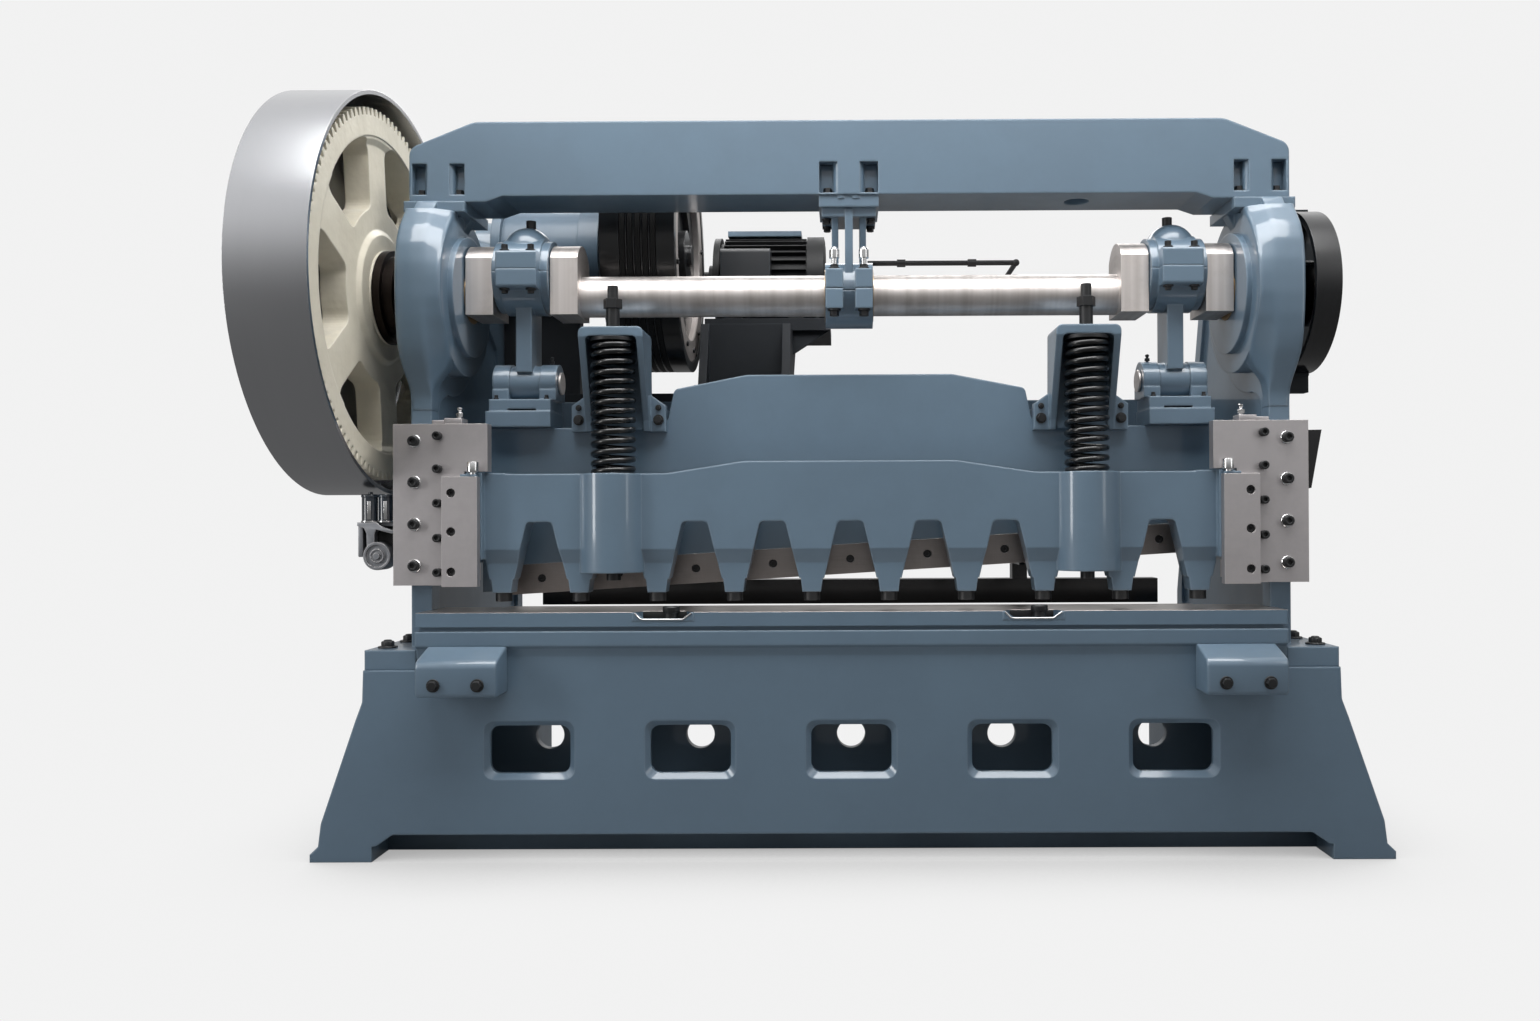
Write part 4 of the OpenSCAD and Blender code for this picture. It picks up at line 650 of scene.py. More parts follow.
    WORN_BY: dict[str, str] = {
        "BLUE": "base side_frame_left side_frame_right top_beam centre_hanger centre_cap arm_brackets "
                "conrod_left conrod_right conrod_cap_left conrod_cap_right ram saddle_left saddle_right "
                "yoke_left yoke_right hold_down_beam",
        "TABLE": "table",
        "SHADED_BLUE": "rear_crossbeam flywheel_shaft_housing",
        "TERMINAL": "motor_terminal_box",
        "MOTOR_BLACK": "motor_housing motor_pulley",
        "SPRING_BLACK": "spring_left spring_right",
        "GUIDE_STEEL": "guide_plate_left guide_plate_right rear_gibs gauge_screw_left gauge_screw_right",
        "BLADE_STEEL": "lower_blade upper_blade",
        "SHAFT": "crankshaft wrist_pins",
        "BRONZE": "main_bushes",
        "BRIGHT": "grease_cups",
        "BAND": "gear_cover",
        "CREAM": "drive_gear",
        "BLACK_OXIDE": "table_bolts foot_bolts top_beam_bolts hanger_bolts guide_plate_bolts "
                       "arm_bracket_bolts conrod_bolts_left conrod_bolts_right upper_blade_bolts "
                       "saddle_bolts yoke_screws hold_down_pads oil_pipe",
        "WHEEL": "flywheel",
        "BLACK_GLOSS": "brake_drum back_gauge gauge_rails switch_box",
        "DARK": "motor_pedestal brake_band",
        "RUBBER": "drive_belts",
        "CAST_ALUMINIUM": "lubricator",
    }

    def __init__(self) -> None:
        """Build the shared effects; materials come on their first use."""
        self.effects = Effects()
        self.made: dict[str, bpy.types.Material] = {}

    def material(self, finish: Finish) -> bpy.types.Material:
        """Make a finish's material on its first use.

        Args:
            finish: The finish.

        Returns:
            Its one material.
        """
        if finish.name not in self.made:
            self.made[finish.name] = finish.build(self.effects)
        return self.made[finish.name]

    def dress(self, thing: bpy.types.Object, finish: Finish) -> None:
        """Put a finish on an object."""
        thing.data.materials.clear()
        thing.data.materials.append(self.material(finish))

    def dress_frame(self) -> None:
        """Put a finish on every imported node."""
        for finish_name, names in self.WORN_BY.items():
            for node in names.split():
                self.dress(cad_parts[node], getattr(self, finish_name))
        log.info("finishes on %d packed nodes", sum(len(n.split()) for n in self.WORN_BY.values()))


@dataclass
class Shape:
    """Points and faces of one or more closed surfaces."""

    points: np.ndarray
    faces: list

    def moved(self, by: Sequence[float]) -> "Shape":
        """Return the shape moved by a vector."""
        return Shape(self.points + np.asarray(by, float), self.faces)


def joined(shapes: Sequence[Shape]) -> Shape:
    """Join any number of shapes into one.

    Args:
        shapes: The shapes.

    Returns:
        One shape with all their faces.
    """
    counts = np.cumsum([0] + [len(one.points) for one in shapes])
    faces = [[i + int(shift) for i in f] for one, shift in zip(shapes, counts) for f in one.faces]
    return Shape(np.vstack([one.points for one in shapes]), faces)


def ring_faces(rows: int, columns: int, closed: bool = False) -> list:
    """Faces of rings of points stored one after another.

    Args:
        rows: Number of rings.
        columns: Number of points in a ring.
        closed: Whether the last ring joins the first; otherwise both are filled.

    Returns:
        The point numbers of each face.
    """
    r = np.arange(rows if closed else rows - 1)[:, None]
    c = np.arange(columns)[None, :]
    beside = (c + 1) % columns
    above = (r + 1) % rows
    grid = [r * columns + c, r * columns + beside, above * columns + beside, above * columns + c]
    faces = np.stack(grid, -1).reshape(-1, 4).tolist()
    if not closed:
        faces.append(list(range(columns))[::-1])
        faces.append([(rows - 1) * columns + i for i in range(columns)])
    return faces


@dataclass(frozen=True)
class Stand:
    """Where a turned piece stands: its foot and the direction of its axis."""

    foot: Vector3
    way: Vector3 = (0.0, -1.0, 0.0)

    def axes(self) -> np.ndarray:
        """Work out the stand's directions.

        Returns:
            The two directions across the axis and the axis itself, as rows.
        """
        w = np.asarray(self.way, float)
        w /= np.linalg.norm(w)
        u = np.cross(w, UP if abs(w[2]) < 0.9 else RIGHT)
        u /= np.linalg.norm(u)
        return np.stack([u, np.cross(w, u), w])


def lathe(rows: Sequence[tuple[float, ...]], stand: Stand, steps: int = 36, ring: bool = False) -> Shape:
    """Turn a profile whose rings may pass from a circle to a hexagon.

    A row (s, r, h) lies s up the axis. At angle t its radius is r times a blend, by h, of one and of a
    hexagon's radius, cos 30 / cos(t mod 60 - 30) in degrees.

    Args:
        rows: Height and radius of each ring, and its share of hexagon where it has one.
        stand: Where the axis stands.
        steps: Number of points round a ring.
        ring: Whether the last row joins the first; otherwise both ends are filled.

    Returns:
        The turned shape.
    """
    p = np.array([row if len(row) == 3 else (*row, 0.0) for row in rows])
    t = np.arange(steps) * 2 * math.pi / steps
    six = math.cos(math.pi / 6) / np.cos(t % (math.pi / 3) - math.pi / 6)
    radius = p[:, 1, None] * (1 - p[:, 2, None] + p[:, 2, None] * six[None, :])
    u, v, w = stand.axes()
    out = np.cos(t)[:, None] * u + np.sin(t)[:, None] * v
    points = np.asarray(stand.foot, float) + radius[..., None] * out + p[:, 0, None, None] * w
    return Shape(points.reshape(-1, 3), ring_faces(len(p), steps, ring))


def cap_head(stand: Stand, radius: float, height: float) -> Shape:
    """Round head of a socket screw: a rounded rim round a hexagon that goes down half the height.

    Args:
        stand: Where it stands.
        radius: Its radius.
        height: Its height.

    Returns:
        The head.
    """
    c = radius * 0.14
    key = radius * 0.55
    return lathe([(0, radius * 0.98), (c, radius), (height - c, radius), (height - c * 0.3, radius - c * 0.3),
                  (height, radius - c), (height, key * 1.16), (height - 0.0006, key, 1),
                  (height * 0.45, key, 1), (height * 0.40, key * 0.3)], stand)


def hex_head(stand: Stand, radius: float, height: float) -> Shape:
    """Six-sided head whose top corners are turned off to a cone."""
    return lathe([(0, radius, 1), (height * 0.86, radius, 1), (height, radius * 0.86, 0.2),
                  (height, radius * 0.4)], stand)


def washer(stand: Stand, radius: float, height: float) -> Shape:
    """Flat ring with a small chamfer, and a hole under the head.

    Args:
        stand: Where it stands.
        radius: Its radius.
        height: Its height.

    Returns:
        The ring.
    """
    c = height * 0.25
    hole = radius * 0.55
    return lathe([(0, hole), (0, radius), (height - c, radius), (height, radius - c), (height, hole)],
                 stand, ring=True)


def slab(outline: Sequence[tuple[float, float]], low: float, high: float, axis: Axis, edge: float) -> Shape:
    """Carry an outline along an axis, drawn in towards its middle over a quarter circle at both ends.

    Args:
        outline: Points across the axis, in the order that keeps the inside on the left.
        low: Start along the axis.
        high: End along the axis.
        axis: Direction of the carrying.
        edge: Radius of the rounded edges.

    Returns:
        The rounded slab.
    """
    p = np.asarray(outline, float)
    middle = (p.max(0) + p.min(0)) / 2
    half = (p.max(0) - p.min(0)) / 2
    a = np.linspace(0, math.pi / 2, EDGE_POINTS)
    inset = np.concatenate([edge * (1 - np.sin(a)), edge * (1 - np.sin(a[::-1]))])
    depth = np.concatenate([low + edge * (1 - np.cos(a)), high - edge * (1 - np.cos(a[::-1]))])
    rings = middle + (p - middle)[None] * (1 - inset[:, None] / half[None, :])[:, None, :]
    s = np.broadcast_to(depth[:, None], rings.shape[:2])
    one, two = rings[..., 0], rings[..., 1]
    points = {Axis.X: (s, one, two), Axis.Y: (two, s, one), Axis.Z: (one, two, s)}[axis]
    return Shape(np.stack(points, -1).reshape(-1, 3), ring_faces(len(depth), len(p)))


def round_rectangle(low: tuple[float, float], high: tuple[float, float], radius: float) -> list:
    """Work out a rectangle whose corners are quarter circles.

    Args:
        low: Its lower corner.
        high: Its upper corner.
        radius: Radius of its corners.

    Returns:
        Its points, with the inside on the left.
    """
    (x0, y0), (x1, y1) = low, high
    points = []
    for cx, cy, start in ((x1 - radius, y1 - radius, 0.0), (x0 + radius, y1 - radius, 0.5),
                          (x0 + radius, y0 + radius, 1.0), (x1 - radius, y0 + radius, 1.5)):
        a = (start + np.linspace(0, 0.5, CORNER_POINTS)) * math.pi
        points += np.stack([cx + radius * np.cos(a), cy + radius * np.sin(a)], -1).tolist()
    return points


def plate(low: Vector3, high: Vector3, axis: Axis, corner: float, edge: float) -> Shape:
    """Make a plate between two corner points.

    Args:
        low: Its corner with the lowest x, y and z.
        high: Its corner with the highest.
        axis: Direction along which it is carried.
        corner: Radius of the four edges along that axis.
        edge: Radius of the edges round both ends.

    Returns:
        The rounded plate.
    """
    one, two = {Axis.X: (1, 2), Axis.Y: (2, 0), Axis.Z: (0, 1)}[axis]
    outline = round_rectangle((low[one], low[two]), (high[one], high[two]), corner)
    return slab(outline, low[axis.value], high[axis.value], axis, edge)


def tube(path: np.ndarray, radius: float, sides: int) -> Shape:
    """Carry a circle along a path, square to the path everywhere and turned as little as can be.

    Args:
        path: Points of the path's middle line.
        radius: The circle's radius.
        sides: Number of points round the circle.

    Returns:
        The tube, closed at both ends.
    """
    way = np.gradient(path, axis=0)
    way /= np.linalg.norm(way, axis=1)[:, None]
    out = np.empty_like(path)
    first = np.array(UP if abs(way[0, 2]) < 0.9 else RIGHT)
    for i, w in enumerate(way):
        first = first - w * (first @ w)
        first /= np.linalg.norm(first)
        out[i] = first
    up = np.cross(way, out)
    t = np.arange(sides) * 2 * math.pi / sides
    rings = path[:, None, :] + radius * (out[:, None, :] * np.cos(t)[None, :, None]
                                         + up[:, None, :] * np.sin(t)[None, :, None])
    return Shape(rings.reshape(-1, 3), ring_faces(len(path), sides))


def curve(start: np.ndarray, bend: np.ndarray, end: np.ndarray, steps: int) -> np.ndarray:
    """Points of (1-t)^2 start + 2t(1-t) bend + t^2 end, for t from 0 to 1.

    Args:
        start: Where the curve starts; it and the others may be arrays of points.
        bend: The point that pulls it.
        end: Where it ends.
        steps: Number of points.

    Returns:
        The points, in a new axis before the last.
    """
    t = np.linspace(0, 1, steps)[:, None]
    start, bend, end = (np.asarray(p, float)[..., None, :] for p in (start, bend, end))
    return (1 - t) ** 2 * start + 2 * t * (1 - t) * bend + t ** 2 * end


@dataclass
class Workshop:
    """Turns shapes into objects of the scene."""

    palette: Palette

    def piece(self, name: str, shapes: Sequence[Shape], finish: Finish, body: str = "frame",
              smooth: float = 30.0, instead_of: str = "") -> bpy.types.Object:
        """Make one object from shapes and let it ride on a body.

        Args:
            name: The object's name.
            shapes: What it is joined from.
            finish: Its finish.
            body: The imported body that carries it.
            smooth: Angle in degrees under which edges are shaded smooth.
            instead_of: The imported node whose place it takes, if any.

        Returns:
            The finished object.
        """
        shape = joined(shapes)
        mesh = bpy.data.meshes.new(name)
        mesh.from_pydata(shape.points.tolist(), [], shape.faces)
        mesh.validate()
        thing = bpy.data.objects.new(name, mesh)
        bpy.context.scene.collection.objects.link(thing)
        self.palette.dress(thing, finish)
        mesh.polygons.foreach_set("use_smooth", np.ones(len(mesh.polygons), dtype=bool))
        mesh.set_sharp_from_angle(angle=math.radians(smooth))
        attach(thing, body)
        if instead_of:
            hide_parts(instead_of)
        log.info("%s: %d faces on %s", name, len(mesh.polygons), body)
        return thing


@dataclass
class Springs:
    """The two coil springs between the yokes and the hold-down."""

    x: float = 0.701
    y: float = -0.425
    coil_radius: float = 0.0575
    wire_radius: float = 0.009
    bottom: float = 1.0963
    top: float = 1.5007
    turns: float = 14.0
    closed: float = 1.0
    closed_pitch: float = 1.04
    keep: float = 0.776

    def path(self) -> np.ndarray:
        """Middle line of the wire, which climbs slowly in its first and last turn and evenly between.

        Returns:
            Points of the line, for a spring that stands at x = y = 0.
        """
        t = np.linspace(0, self.turns, int(self.turns * 40) + 1)
        low, high = self.bottom + self.wire_radius, self.top - self.wire_radius
        wire = 2 * self.wire_radius * self.closed_pitch
        active = (high - low - 2 * wire * self.closed) / (self.turns - 2 * self.closed)
        rate = np.where((t < self.closed) | (t > self.turns - self.closed), wire, active)
        climb = np.concatenate([[0.0], np.cumsum(0.5 * (rate[1:] + rate[:-1]) * np.diff(t))])
        z = low + climb * (high - low) / climb[-1]
        a = 2 * math.pi * t
        return np.stack([self.coil_radius * np.cos(a), self.coil_radius * np.sin(a), z], -1)

    def build(self, shop: Workshop) -> None:
        """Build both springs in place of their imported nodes.

        Args:
            shop: What makes the pieces.
        """
        coil = tube(self.path(), self.wire_radius, 14)
        for side, node in zip(SIDES, ("spring_left", "spring_right")):
            piece = shop.piece(f"{node}_coils", [coil.moved((side * self.x, self.y, 0))],
                               Palette.SPRING_BLACK, "hold_down", smooth=60, instead_of=node)
            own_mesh(piece)


@dataclass
class GuideScrews:
    """Socket screws of the guide plates, the outer row on bright washers; a head is radius and height."""

    plate_face: float = -0.490
    gib_face: float = -0.496
    outer_x: float = 1.268
    inner_x: float = 1.198
    gib_x: float = 1.153
    outer_z: tuple[float, ...] = (0.843, 0.964, 1.086, 1.206)
    inner_z: tuple[float, ...] = (0.824, 0.924, 1.025, 1.125, 1.221)
    gib_z: tuple[float, ...] = (0.826, 0.942, 1.054)
    washer: tuple[float, float] = (0.019, 0.0045)
    outer_head: tuple[float, float] = (0.0145, 0.0155)
    inner_head: tuple[float, float] = (0.0125, 0.021)
    gib_head: tuple[float, float] = (0.0112, 0.013)

    def build(self, shop: Workshop) -> None:
        """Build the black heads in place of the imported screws, and the bright washers beside them.

        Args:
            shop: What makes the pieces.
        """
        heads, washers = [], []
        on_washer = self.plate_face - self.washer[1]
        for side in SIDES:
            for z in self.outer_z:
                washers.append(washer(Stand((side * self.outer_x, self.plate_face, z)), *self.washer))
                heads.append(cap_head(Stand((side * self.outer_x, on_washer, z)), *self.outer_head))
            heads += [cap_head(Stand((side * self.inner_x, self.plate_face, z)), *self.inner_head)
                      for z in self.inner_z]
            heads += [cap_head(Stand((side * self.gib_x, self.gib_face, z)), *self.gib_head)
                      for z in self.gib_z]
        shop.piece("guide_screw_heads", heads, Palette.BLACK_OXIDE, instead_of="guide_plate_bolts")
        shop.piece("guide_screw_washers", washers, Palette.BRIGHT)


@dataclass
class BrightScrews:
    """Bright setting screws on the gibs, and grease nipples on the guides and the saddles."""

    gib_x: float = 1.0925
    gib_y: float = -0.5042
    gib_top: float = 1.1005
    neck: tuple[float, float] = (0.009, 0.015)
    head: tuple[float, float] = (0.0175, 0.031)
    head_above: float = 0.013
    cap_x: tuple[float, float] = (1.080, 1.127)
    cap_y: tuple[float, float] = (-0.5172, -0.4915)
    cap_z: tuple[float, float] = (1.1001, 1.1080)
    nipple_x: float = 1.146
    guide_top: float = 1.256
    liner_y: float = -0.455
    liners: tuple[tuple[float, ...], ...] = ((1.157, 0.026, 0.030, 0.017), (1.203, 0.019, 0.020, 0.012))
    lug_x: float = 0.9157
    lug_z: float = 1.451

    def nipple(self, foot: Vector3, size: float) -> Shape:
        """Grease nipple: a hexagon on a stem, a waist and a round head, turned about an upright line.

        Args:
            foot: Where its stem starts.
            size: A little over half its height.

        Returns:
            The nipple.
        """
        rows = ((0, 0.30), (0.28, 0.30), (0.30, 0.62, 1), (0.95, 0.62, 1), (1.0, 0.34), (1.25, 0.30),
                (1.45, 0.46), (1.75, 0.46), (1.95, 0.20))
        return lathe([(s * size, r * size, *share) for s, r, *share in rows], Stand(foot, UP), steps=24)

    def build(self, shop: Workshop) -> None:
        """Build the screws and caps of the gibs, the guides' liners and nipples, and the saddles' nipples.

        Args:
            shop: What makes the pieces.
        """
        screws, caps, liners, nipples, lugs = [], [], [], [], []
        for side in SIDES:
            x, y = side * self.gib_x, self.gib_y
            neck_r, neck_h = self.neck
            screws.append(lathe([(0, neck_r), (neck_h, neck_r)], Stand((x, y, self.gib_top), UP), steps=24))
            screws.append(cap_head(Stand((x, y, self.gib_top + self.head_above), UP), *self.head))
            x0, x1 = sorted(side * x for x in self.cap_x)
            (y0, y1), (z0, z1) = self.cap_y, self.cap_z
            caps.append(plate((x0, y0, z0), (x1, y1, z1), Axis.Z, 0.003, 0.0015))
            for middle, half, front, high in self.liners:
                x = side * middle
                liners.append(plate((x - half, self.liner_y - front, self.guide_top),
                                    (x + half, self.liner_y + 0.026, self.guide_top + high),
                                    Axis.Z, 0.003, 0.0015))
            nipples.append(self.nipple((side * self.nipple_x, self.liner_y, self.guide_top + 0.017), 0.018))
            lugs.append(self.nipple((side * self.lug_x, CRANK_Y, self.lug_z), 0.013))
        shop.piece("gib_setting_screws", screws, Palette.BRIGHT)
        shop.piece("gib_caps", caps, Palette.BLUE)
        shop.piece("guide_liners", liners, Palette.GUIDE_STEEL)
        shop.piece("guide_nipples", nipples, Palette.BRIGHT, smooth=40)
        shop.piece("saddle_nipples", lugs, Palette.BLACK_OXIDE, "ram", smooth=40)


@dataclass
class Lubricator:
    """Oil pump on the left frame: two jars on a bracket, a dark back plate and a round drive cover."""

    at_y: float = -0.425
    frame_side: float = -1.2912
    jars: tuple[tuple[float, float], ...] = ((-1.4235, 0.0245), (-1.3755, 0.0228))
    jar_low: float = 0.9705
    jar_high: float = 1.0530
    cover_x: float = -1.3915
    cover_z: float = 0.8710
    cover_r: float = 0.0415
    cover: tuple[tuple[float, float], ...] = (
        (0, 0.96), (0.004, 1), (0.058, 1), (0.062, 0.95), (0.062, 0.80), (0.056, 0.76), (0.056, 0.52),
        (0.062, 0.49), (0.062, 0.42), (0.059, 0.38), (0.059, 0.26), (0.066, 0.22), (0.066, 0.10))
    bracket: tuple[tuple[float, float], ...] = (
        (0.970, -1.3950), (0.957, -1.3780), (0.9475, -1.3500), (0.946, -1.2912), (0.9375, -1.2912),
        (0.9375, -1.3500), (0.944, -1.3750), (0.950, -1.3960), (0.936, -1.4010), (0.900, -1.4010),
        (0.900, -1.4240), (0.938, -1.4245), (0.954, -1.432), (0.961, -1.452), (0.970, -1.452))

    def jar(self, x: float, radius: float) -> tuple[Shape, list[Shape]]:
        """Work out one jar.

        Args:
            x: Its middle.
            radius: The radius of its lid.

        Returns:
            The jar, and its bright foot ring and a bright strip on its front that paints a highlight.
        """
        y, r, high = self.at_y, radius, self.jar_high - self.jar_low
        jar = lathe([(0.003, r * 0.97), (0.006, r * 0.93), (high - 0.009, r * 0.93), (high - 0.008, r),
                     (high - 0.003, r), (high, r * 0.93), (high, r * 0.3)],
                    Stand((x, y, self.jar_low), UP), steps=48)
        foot = lathe([(0, r * 0.95), (0.001, r * 1.02), (0.005, r * 1.02), (0.006, r * 0.94)],
                     Stand((x, y, self.jar_low - 0.001), UP), steps=48)
        # Painted highlight: a bright plated strip on the jar's front
        highlight_strip = plate((x + r * 0.05, y - r * 1.03, self.jar_low + 0.008),
                       (x + r * 0.50, y - r * 0.75, self.jar_high - 0.020), Axis.Z, 0.001, 0.0008)
        return jar, [foot, highlight_strip]

    def build(self, shop: Workshop) -> None:
        """Build the pump in place of its packed form.

        Args:
            shop: What makes the pieces.
        """
        y, side = self.at_y, self.frame_side
        jars, trim = [], []
        for x, radius in self.jars:
            jar, bright = self.jar(x, radius)
            jars.append(jar)
            trim += bright
        filler = Stand((self.jars[0][0] + 0.006, y - 0.010, self.jar_high - 0.001), UP)
        jars.append(lathe([(0, 0.0065), (0.006, 0.0065), (0.008, 0.005)], filler, steps=24))
        shop.piece("lubricator_jars", jars, Palette.JAR, smooth=35)
        shop.piece("lubricator_feet_and_highlights", trim, Palette.BRIGHT, smooth=35)
        back = plate((-1.446, y + 0.020, 0.852), (side, y + 0.030, 0.9585), Axis.Z, 0.003, 0.002)
        shop.piece("lubricator_back", [back], Palette.BLACK_OXIDE, smooth=35)
        r = self.cover_r
        parts = [slab(self.bracket, y - 0.026, y - 0.004, Axis.Y, 0.002),
                 plate((-1.448, y - 0.004, 0.9580), (side, y + 0.026, 0.9705), Axis.Z, 0.006, 0.002),
                 plate((-1.4535, y - 0.014, 0.868), (-1.4390, y + 0.014, 0.966), Axis.X, 0.003, 0.002),
                 lathe([(s, r * share) for s, share in self.cover],
                       Stand((self.cover_x, y + 0.030, self.cover_z)), steps=64)]
        shop.piece("lubricator_body", parts, Palette.CAST_ALUMINIUM, smooth=35, instead_of="lubricator")


@dataclass
class MotorTrim:
    """Cowl and guard of the motor's fan, and the clamping handle under the motor."""

    end_x: float = -0.095
    radius: float = 0.176
    cowl: tuple[tuple[float, float], ...] = (
        (-0.062, 0.003), (-0.006, 0.003), (0.001, -0.003), (0.004, -0.014), (0.004, -0.022), (-0.001, -0.022),
        (-0.001, -0.012), (-0.062, -0.004))
    guard: tuple[float, ...] = (0.040, 0.066, 0.092, 0.118, 0.144)
    hub: tuple[tuple[float, float], ...] = ((-0.001, 0.030), (0.005, 0.030), (0.007, 0.022))
    wire: float = 0.0028
    bars: int = 8
    handle: tuple[Vector3, Vector3, Vector3] = (
        (-0.400, 0.785, 1.700), (-0.400, 0.745, 1.640), (-0.372, 0.735, 1.590))
    handle_r: float = 0.009
    ball_r: float = 0.020

    def build(self, shop: Workshop) -> None:
        """Build the fan's cowl with its rings and bars, and the handle.

        Args:
            shop: What makes the pieces.
        """
        x, r = self.end_x, self.radius
        end = Stand((x, MOTOR_Y, MOTOR_Z), RIGHT)
        parts = [lathe([(s, r + more) for s, more in self.cowl], end, steps=96, ring=True),
                 lathe(self.hub, end, steps=48)]
        t = np.linspace(0, 2 * math.pi, 65)
        for ring in self.guard:
            path = np.stack([np.full_like(t, x + 0.003), MOTOR_Y + ring * np.cos(t),
                             MOTOR_Z + ring * np.sin(t)], -1)
            parts.append(tube(path, self.wire, 8))
        span = np.linspace(0.020, r - 0.016, 6)
        for a in 2 * math.pi * np.arange(self.bars) / self.bars:
            path = np.stack([np.full_like(span, x + 0.0015), MOTOR_Y + span * math.cos(a),
                             MOTOR_Z + span * math.sin(a)], -1)
            parts.append(tube(path, self.wire, 8))
        shop.piece("fan_cowl", parts, Palette.MOTOR_BLACK, smooth=40)
        ball = [(0, 0.006)] + [(self.ball_r * (1 - math.cos(a)), self.ball_r * math.sin(a))
                               for a in np.linspace(0.35, 2.95, 14)]
        handle = [tube(curve(*self.handle, 24), self.handle_r, 12),
                  lathe(ball, Stand((-0.372, 0.735, 1.598), (0.3, -0.1, -1.0)), steps=28)]
        shop.piece("motor_handle", handle, Palette.MOTOR_BLACK, smooth=60)


@dataclass
class ArmBrackets:
    """Brackets for the sheet's support arms: rolled castings with hexagon bolts."""

    inner: float = 0.980
    back: float = -0.550
    front: float = -0.665
    low: float = 0.484
    top: float = 0.6199
    drop: float = 0.040
    roll: float = 0.026
    roll_flat: float = 0.62
    foot_r: float = 0.012
    edge: float = 0.007
    bolt_x: tuple[float, float] = (1.032, 1.154)
    bolt_z: float = 0.519
    washer: tuple[float, float] = (0.0185, 0.004)
    head: tuple[float, float] = (0.0140, 0.0095)

    def profile(self) -> list:
        """Work out the side view: a sloping top that rolls over into the front, and a small lower radius.

        Returns:
            Points (y, z), with the inside on the left.
        """
        a = np.linspace(math.radians(-68), 0, 9)
        knee = np.stack([self.front + self.roll - self.roll * np.cos(a),
                         self.top - self.drop - self.roll * self.roll_flat - self.roll * np.sin(a)], -1)
        low = np.linspace(0, math.pi / 2, 5)
        foot = np.stack([self.front + self.foot_r * (1 - np.cos(low)),
                         self.low + self.foot_r * (1 - np.sin(low))], -1)
        return [(self.back, self.low), (self.back, self.top), *knee.tolist(), *foot.tolist()]

    def build(self, shop: Workshop) -> None:
        """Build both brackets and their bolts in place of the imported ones.

        Args:
            shop: What makes the pieces.
        """
        _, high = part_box("arm_brackets")
        shapes, bolts = [], []
        for side in SIDES:
            a, b = sorted((side * self.inner, side * high[0]))
            shapes.append(slab(self.profile(), a, b, Axis.X, self.edge))
            for x in self.bolt_x:
                bolts += [washer(Stand((side * x, self.front, self.bolt_z)), *self.washer),
                          hex_head(Stand((side * x, self.front - self.washer[1], self.bolt_z)), *self.head)]
        shop.piece("arm_bracket_castings", shapes, Palette.BLUE, smooth=40, instead_of="arm_brackets")
        shop.piece("arm_bracket_screws", bolts, Palette.BLACK_OXIDE, instead_of="arm_bracket_bolts")


@dataclass
class FootBolts:
    """Hexagon bolts with wide washers that hold the side frames down."""

    bolt_x: float = 1.352
    bolt_y: tuple[float, ...] = (-0.475, -0.305, 0.270, 0.460)
    top: float = 0.604
    washer: tuple[float, float] = (0.0275, 0.005)
    head: tuple[float, float] = (0.0185, 0.0145)
    tip: tuple[tuple[float, float], ...] = ((0, 0.0115), (0.003, 0.0115), (0.0045, 0.009))
    tip_above: float = 0.019

    def build(self, shop: Workshop) -> None:
        """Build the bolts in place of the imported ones.

        Args:
            shop: What makes the pieces.
        """
        shapes = []
        for side in SIDES:
            for y in self.bolt_y:
                x = side * self.bolt_x
                shapes += [washer(Stand((x, y, self.top), UP), *self.washer),
                           hex_head(Stand((x, y, self.top + self.washer[1]), UP), *self.head),
                           lathe(self.tip, Stand((x, y, self.top + self.tip_above), UP), steps=24)]
        shop.piece("foot_screws", shapes, Palette.BLACK_OXIDE, instead_of="foot_bolts")


@dataclass
class WheelRing:
    """Turned steel ring screwed into the flywheel's right face."""

    inner: float = 0.296
    outer: float = 0.3752
    back: float = -0.590
    face: float = -0.5675
    chamfer: tuple[float, float] = (0.004, 0.003)
    screws: int = 12
    head: tuple[float, float] = (0.0095, 0.007)

    def build(self, shop: Workshop) -> None:
        """Build the ring and its screws on the flywheel.

        Args:
            shop: What makes the pieces.
        """
        inside, outside = self.chamfer
        rows = [(self.back, self.outer), (self.face - outside, self.outer), (self.face, self.outer - outside),
                (self.face, self.inner + inside), (self.face - inside, self.inner), (self.back, self.inner)]
        ring = lathe(rows, Stand((0.0, PINION_Y, PINION_Z), RIGHT), steps=128, ring=True)
        shop.piece("flywheel_ring", [ring], Palette.RING_STEEL, "flywheel")
        radius = (self.inner + self.outer) / 2
        heads = []
        for a in 2 * math.pi * (np.arange(self.screws) + 0.5) / self.screws:
            foot = (self.face, PINION_Y + radius * math.cos(a), PINION_Z + radius * math.sin(a))
            heads.append(cap_head(Stand(foot, RIGHT), *self.head))
        shop.piece("flywheel_ring_screws", heads, Palette.BLACK_OXIDE, "flywheel")


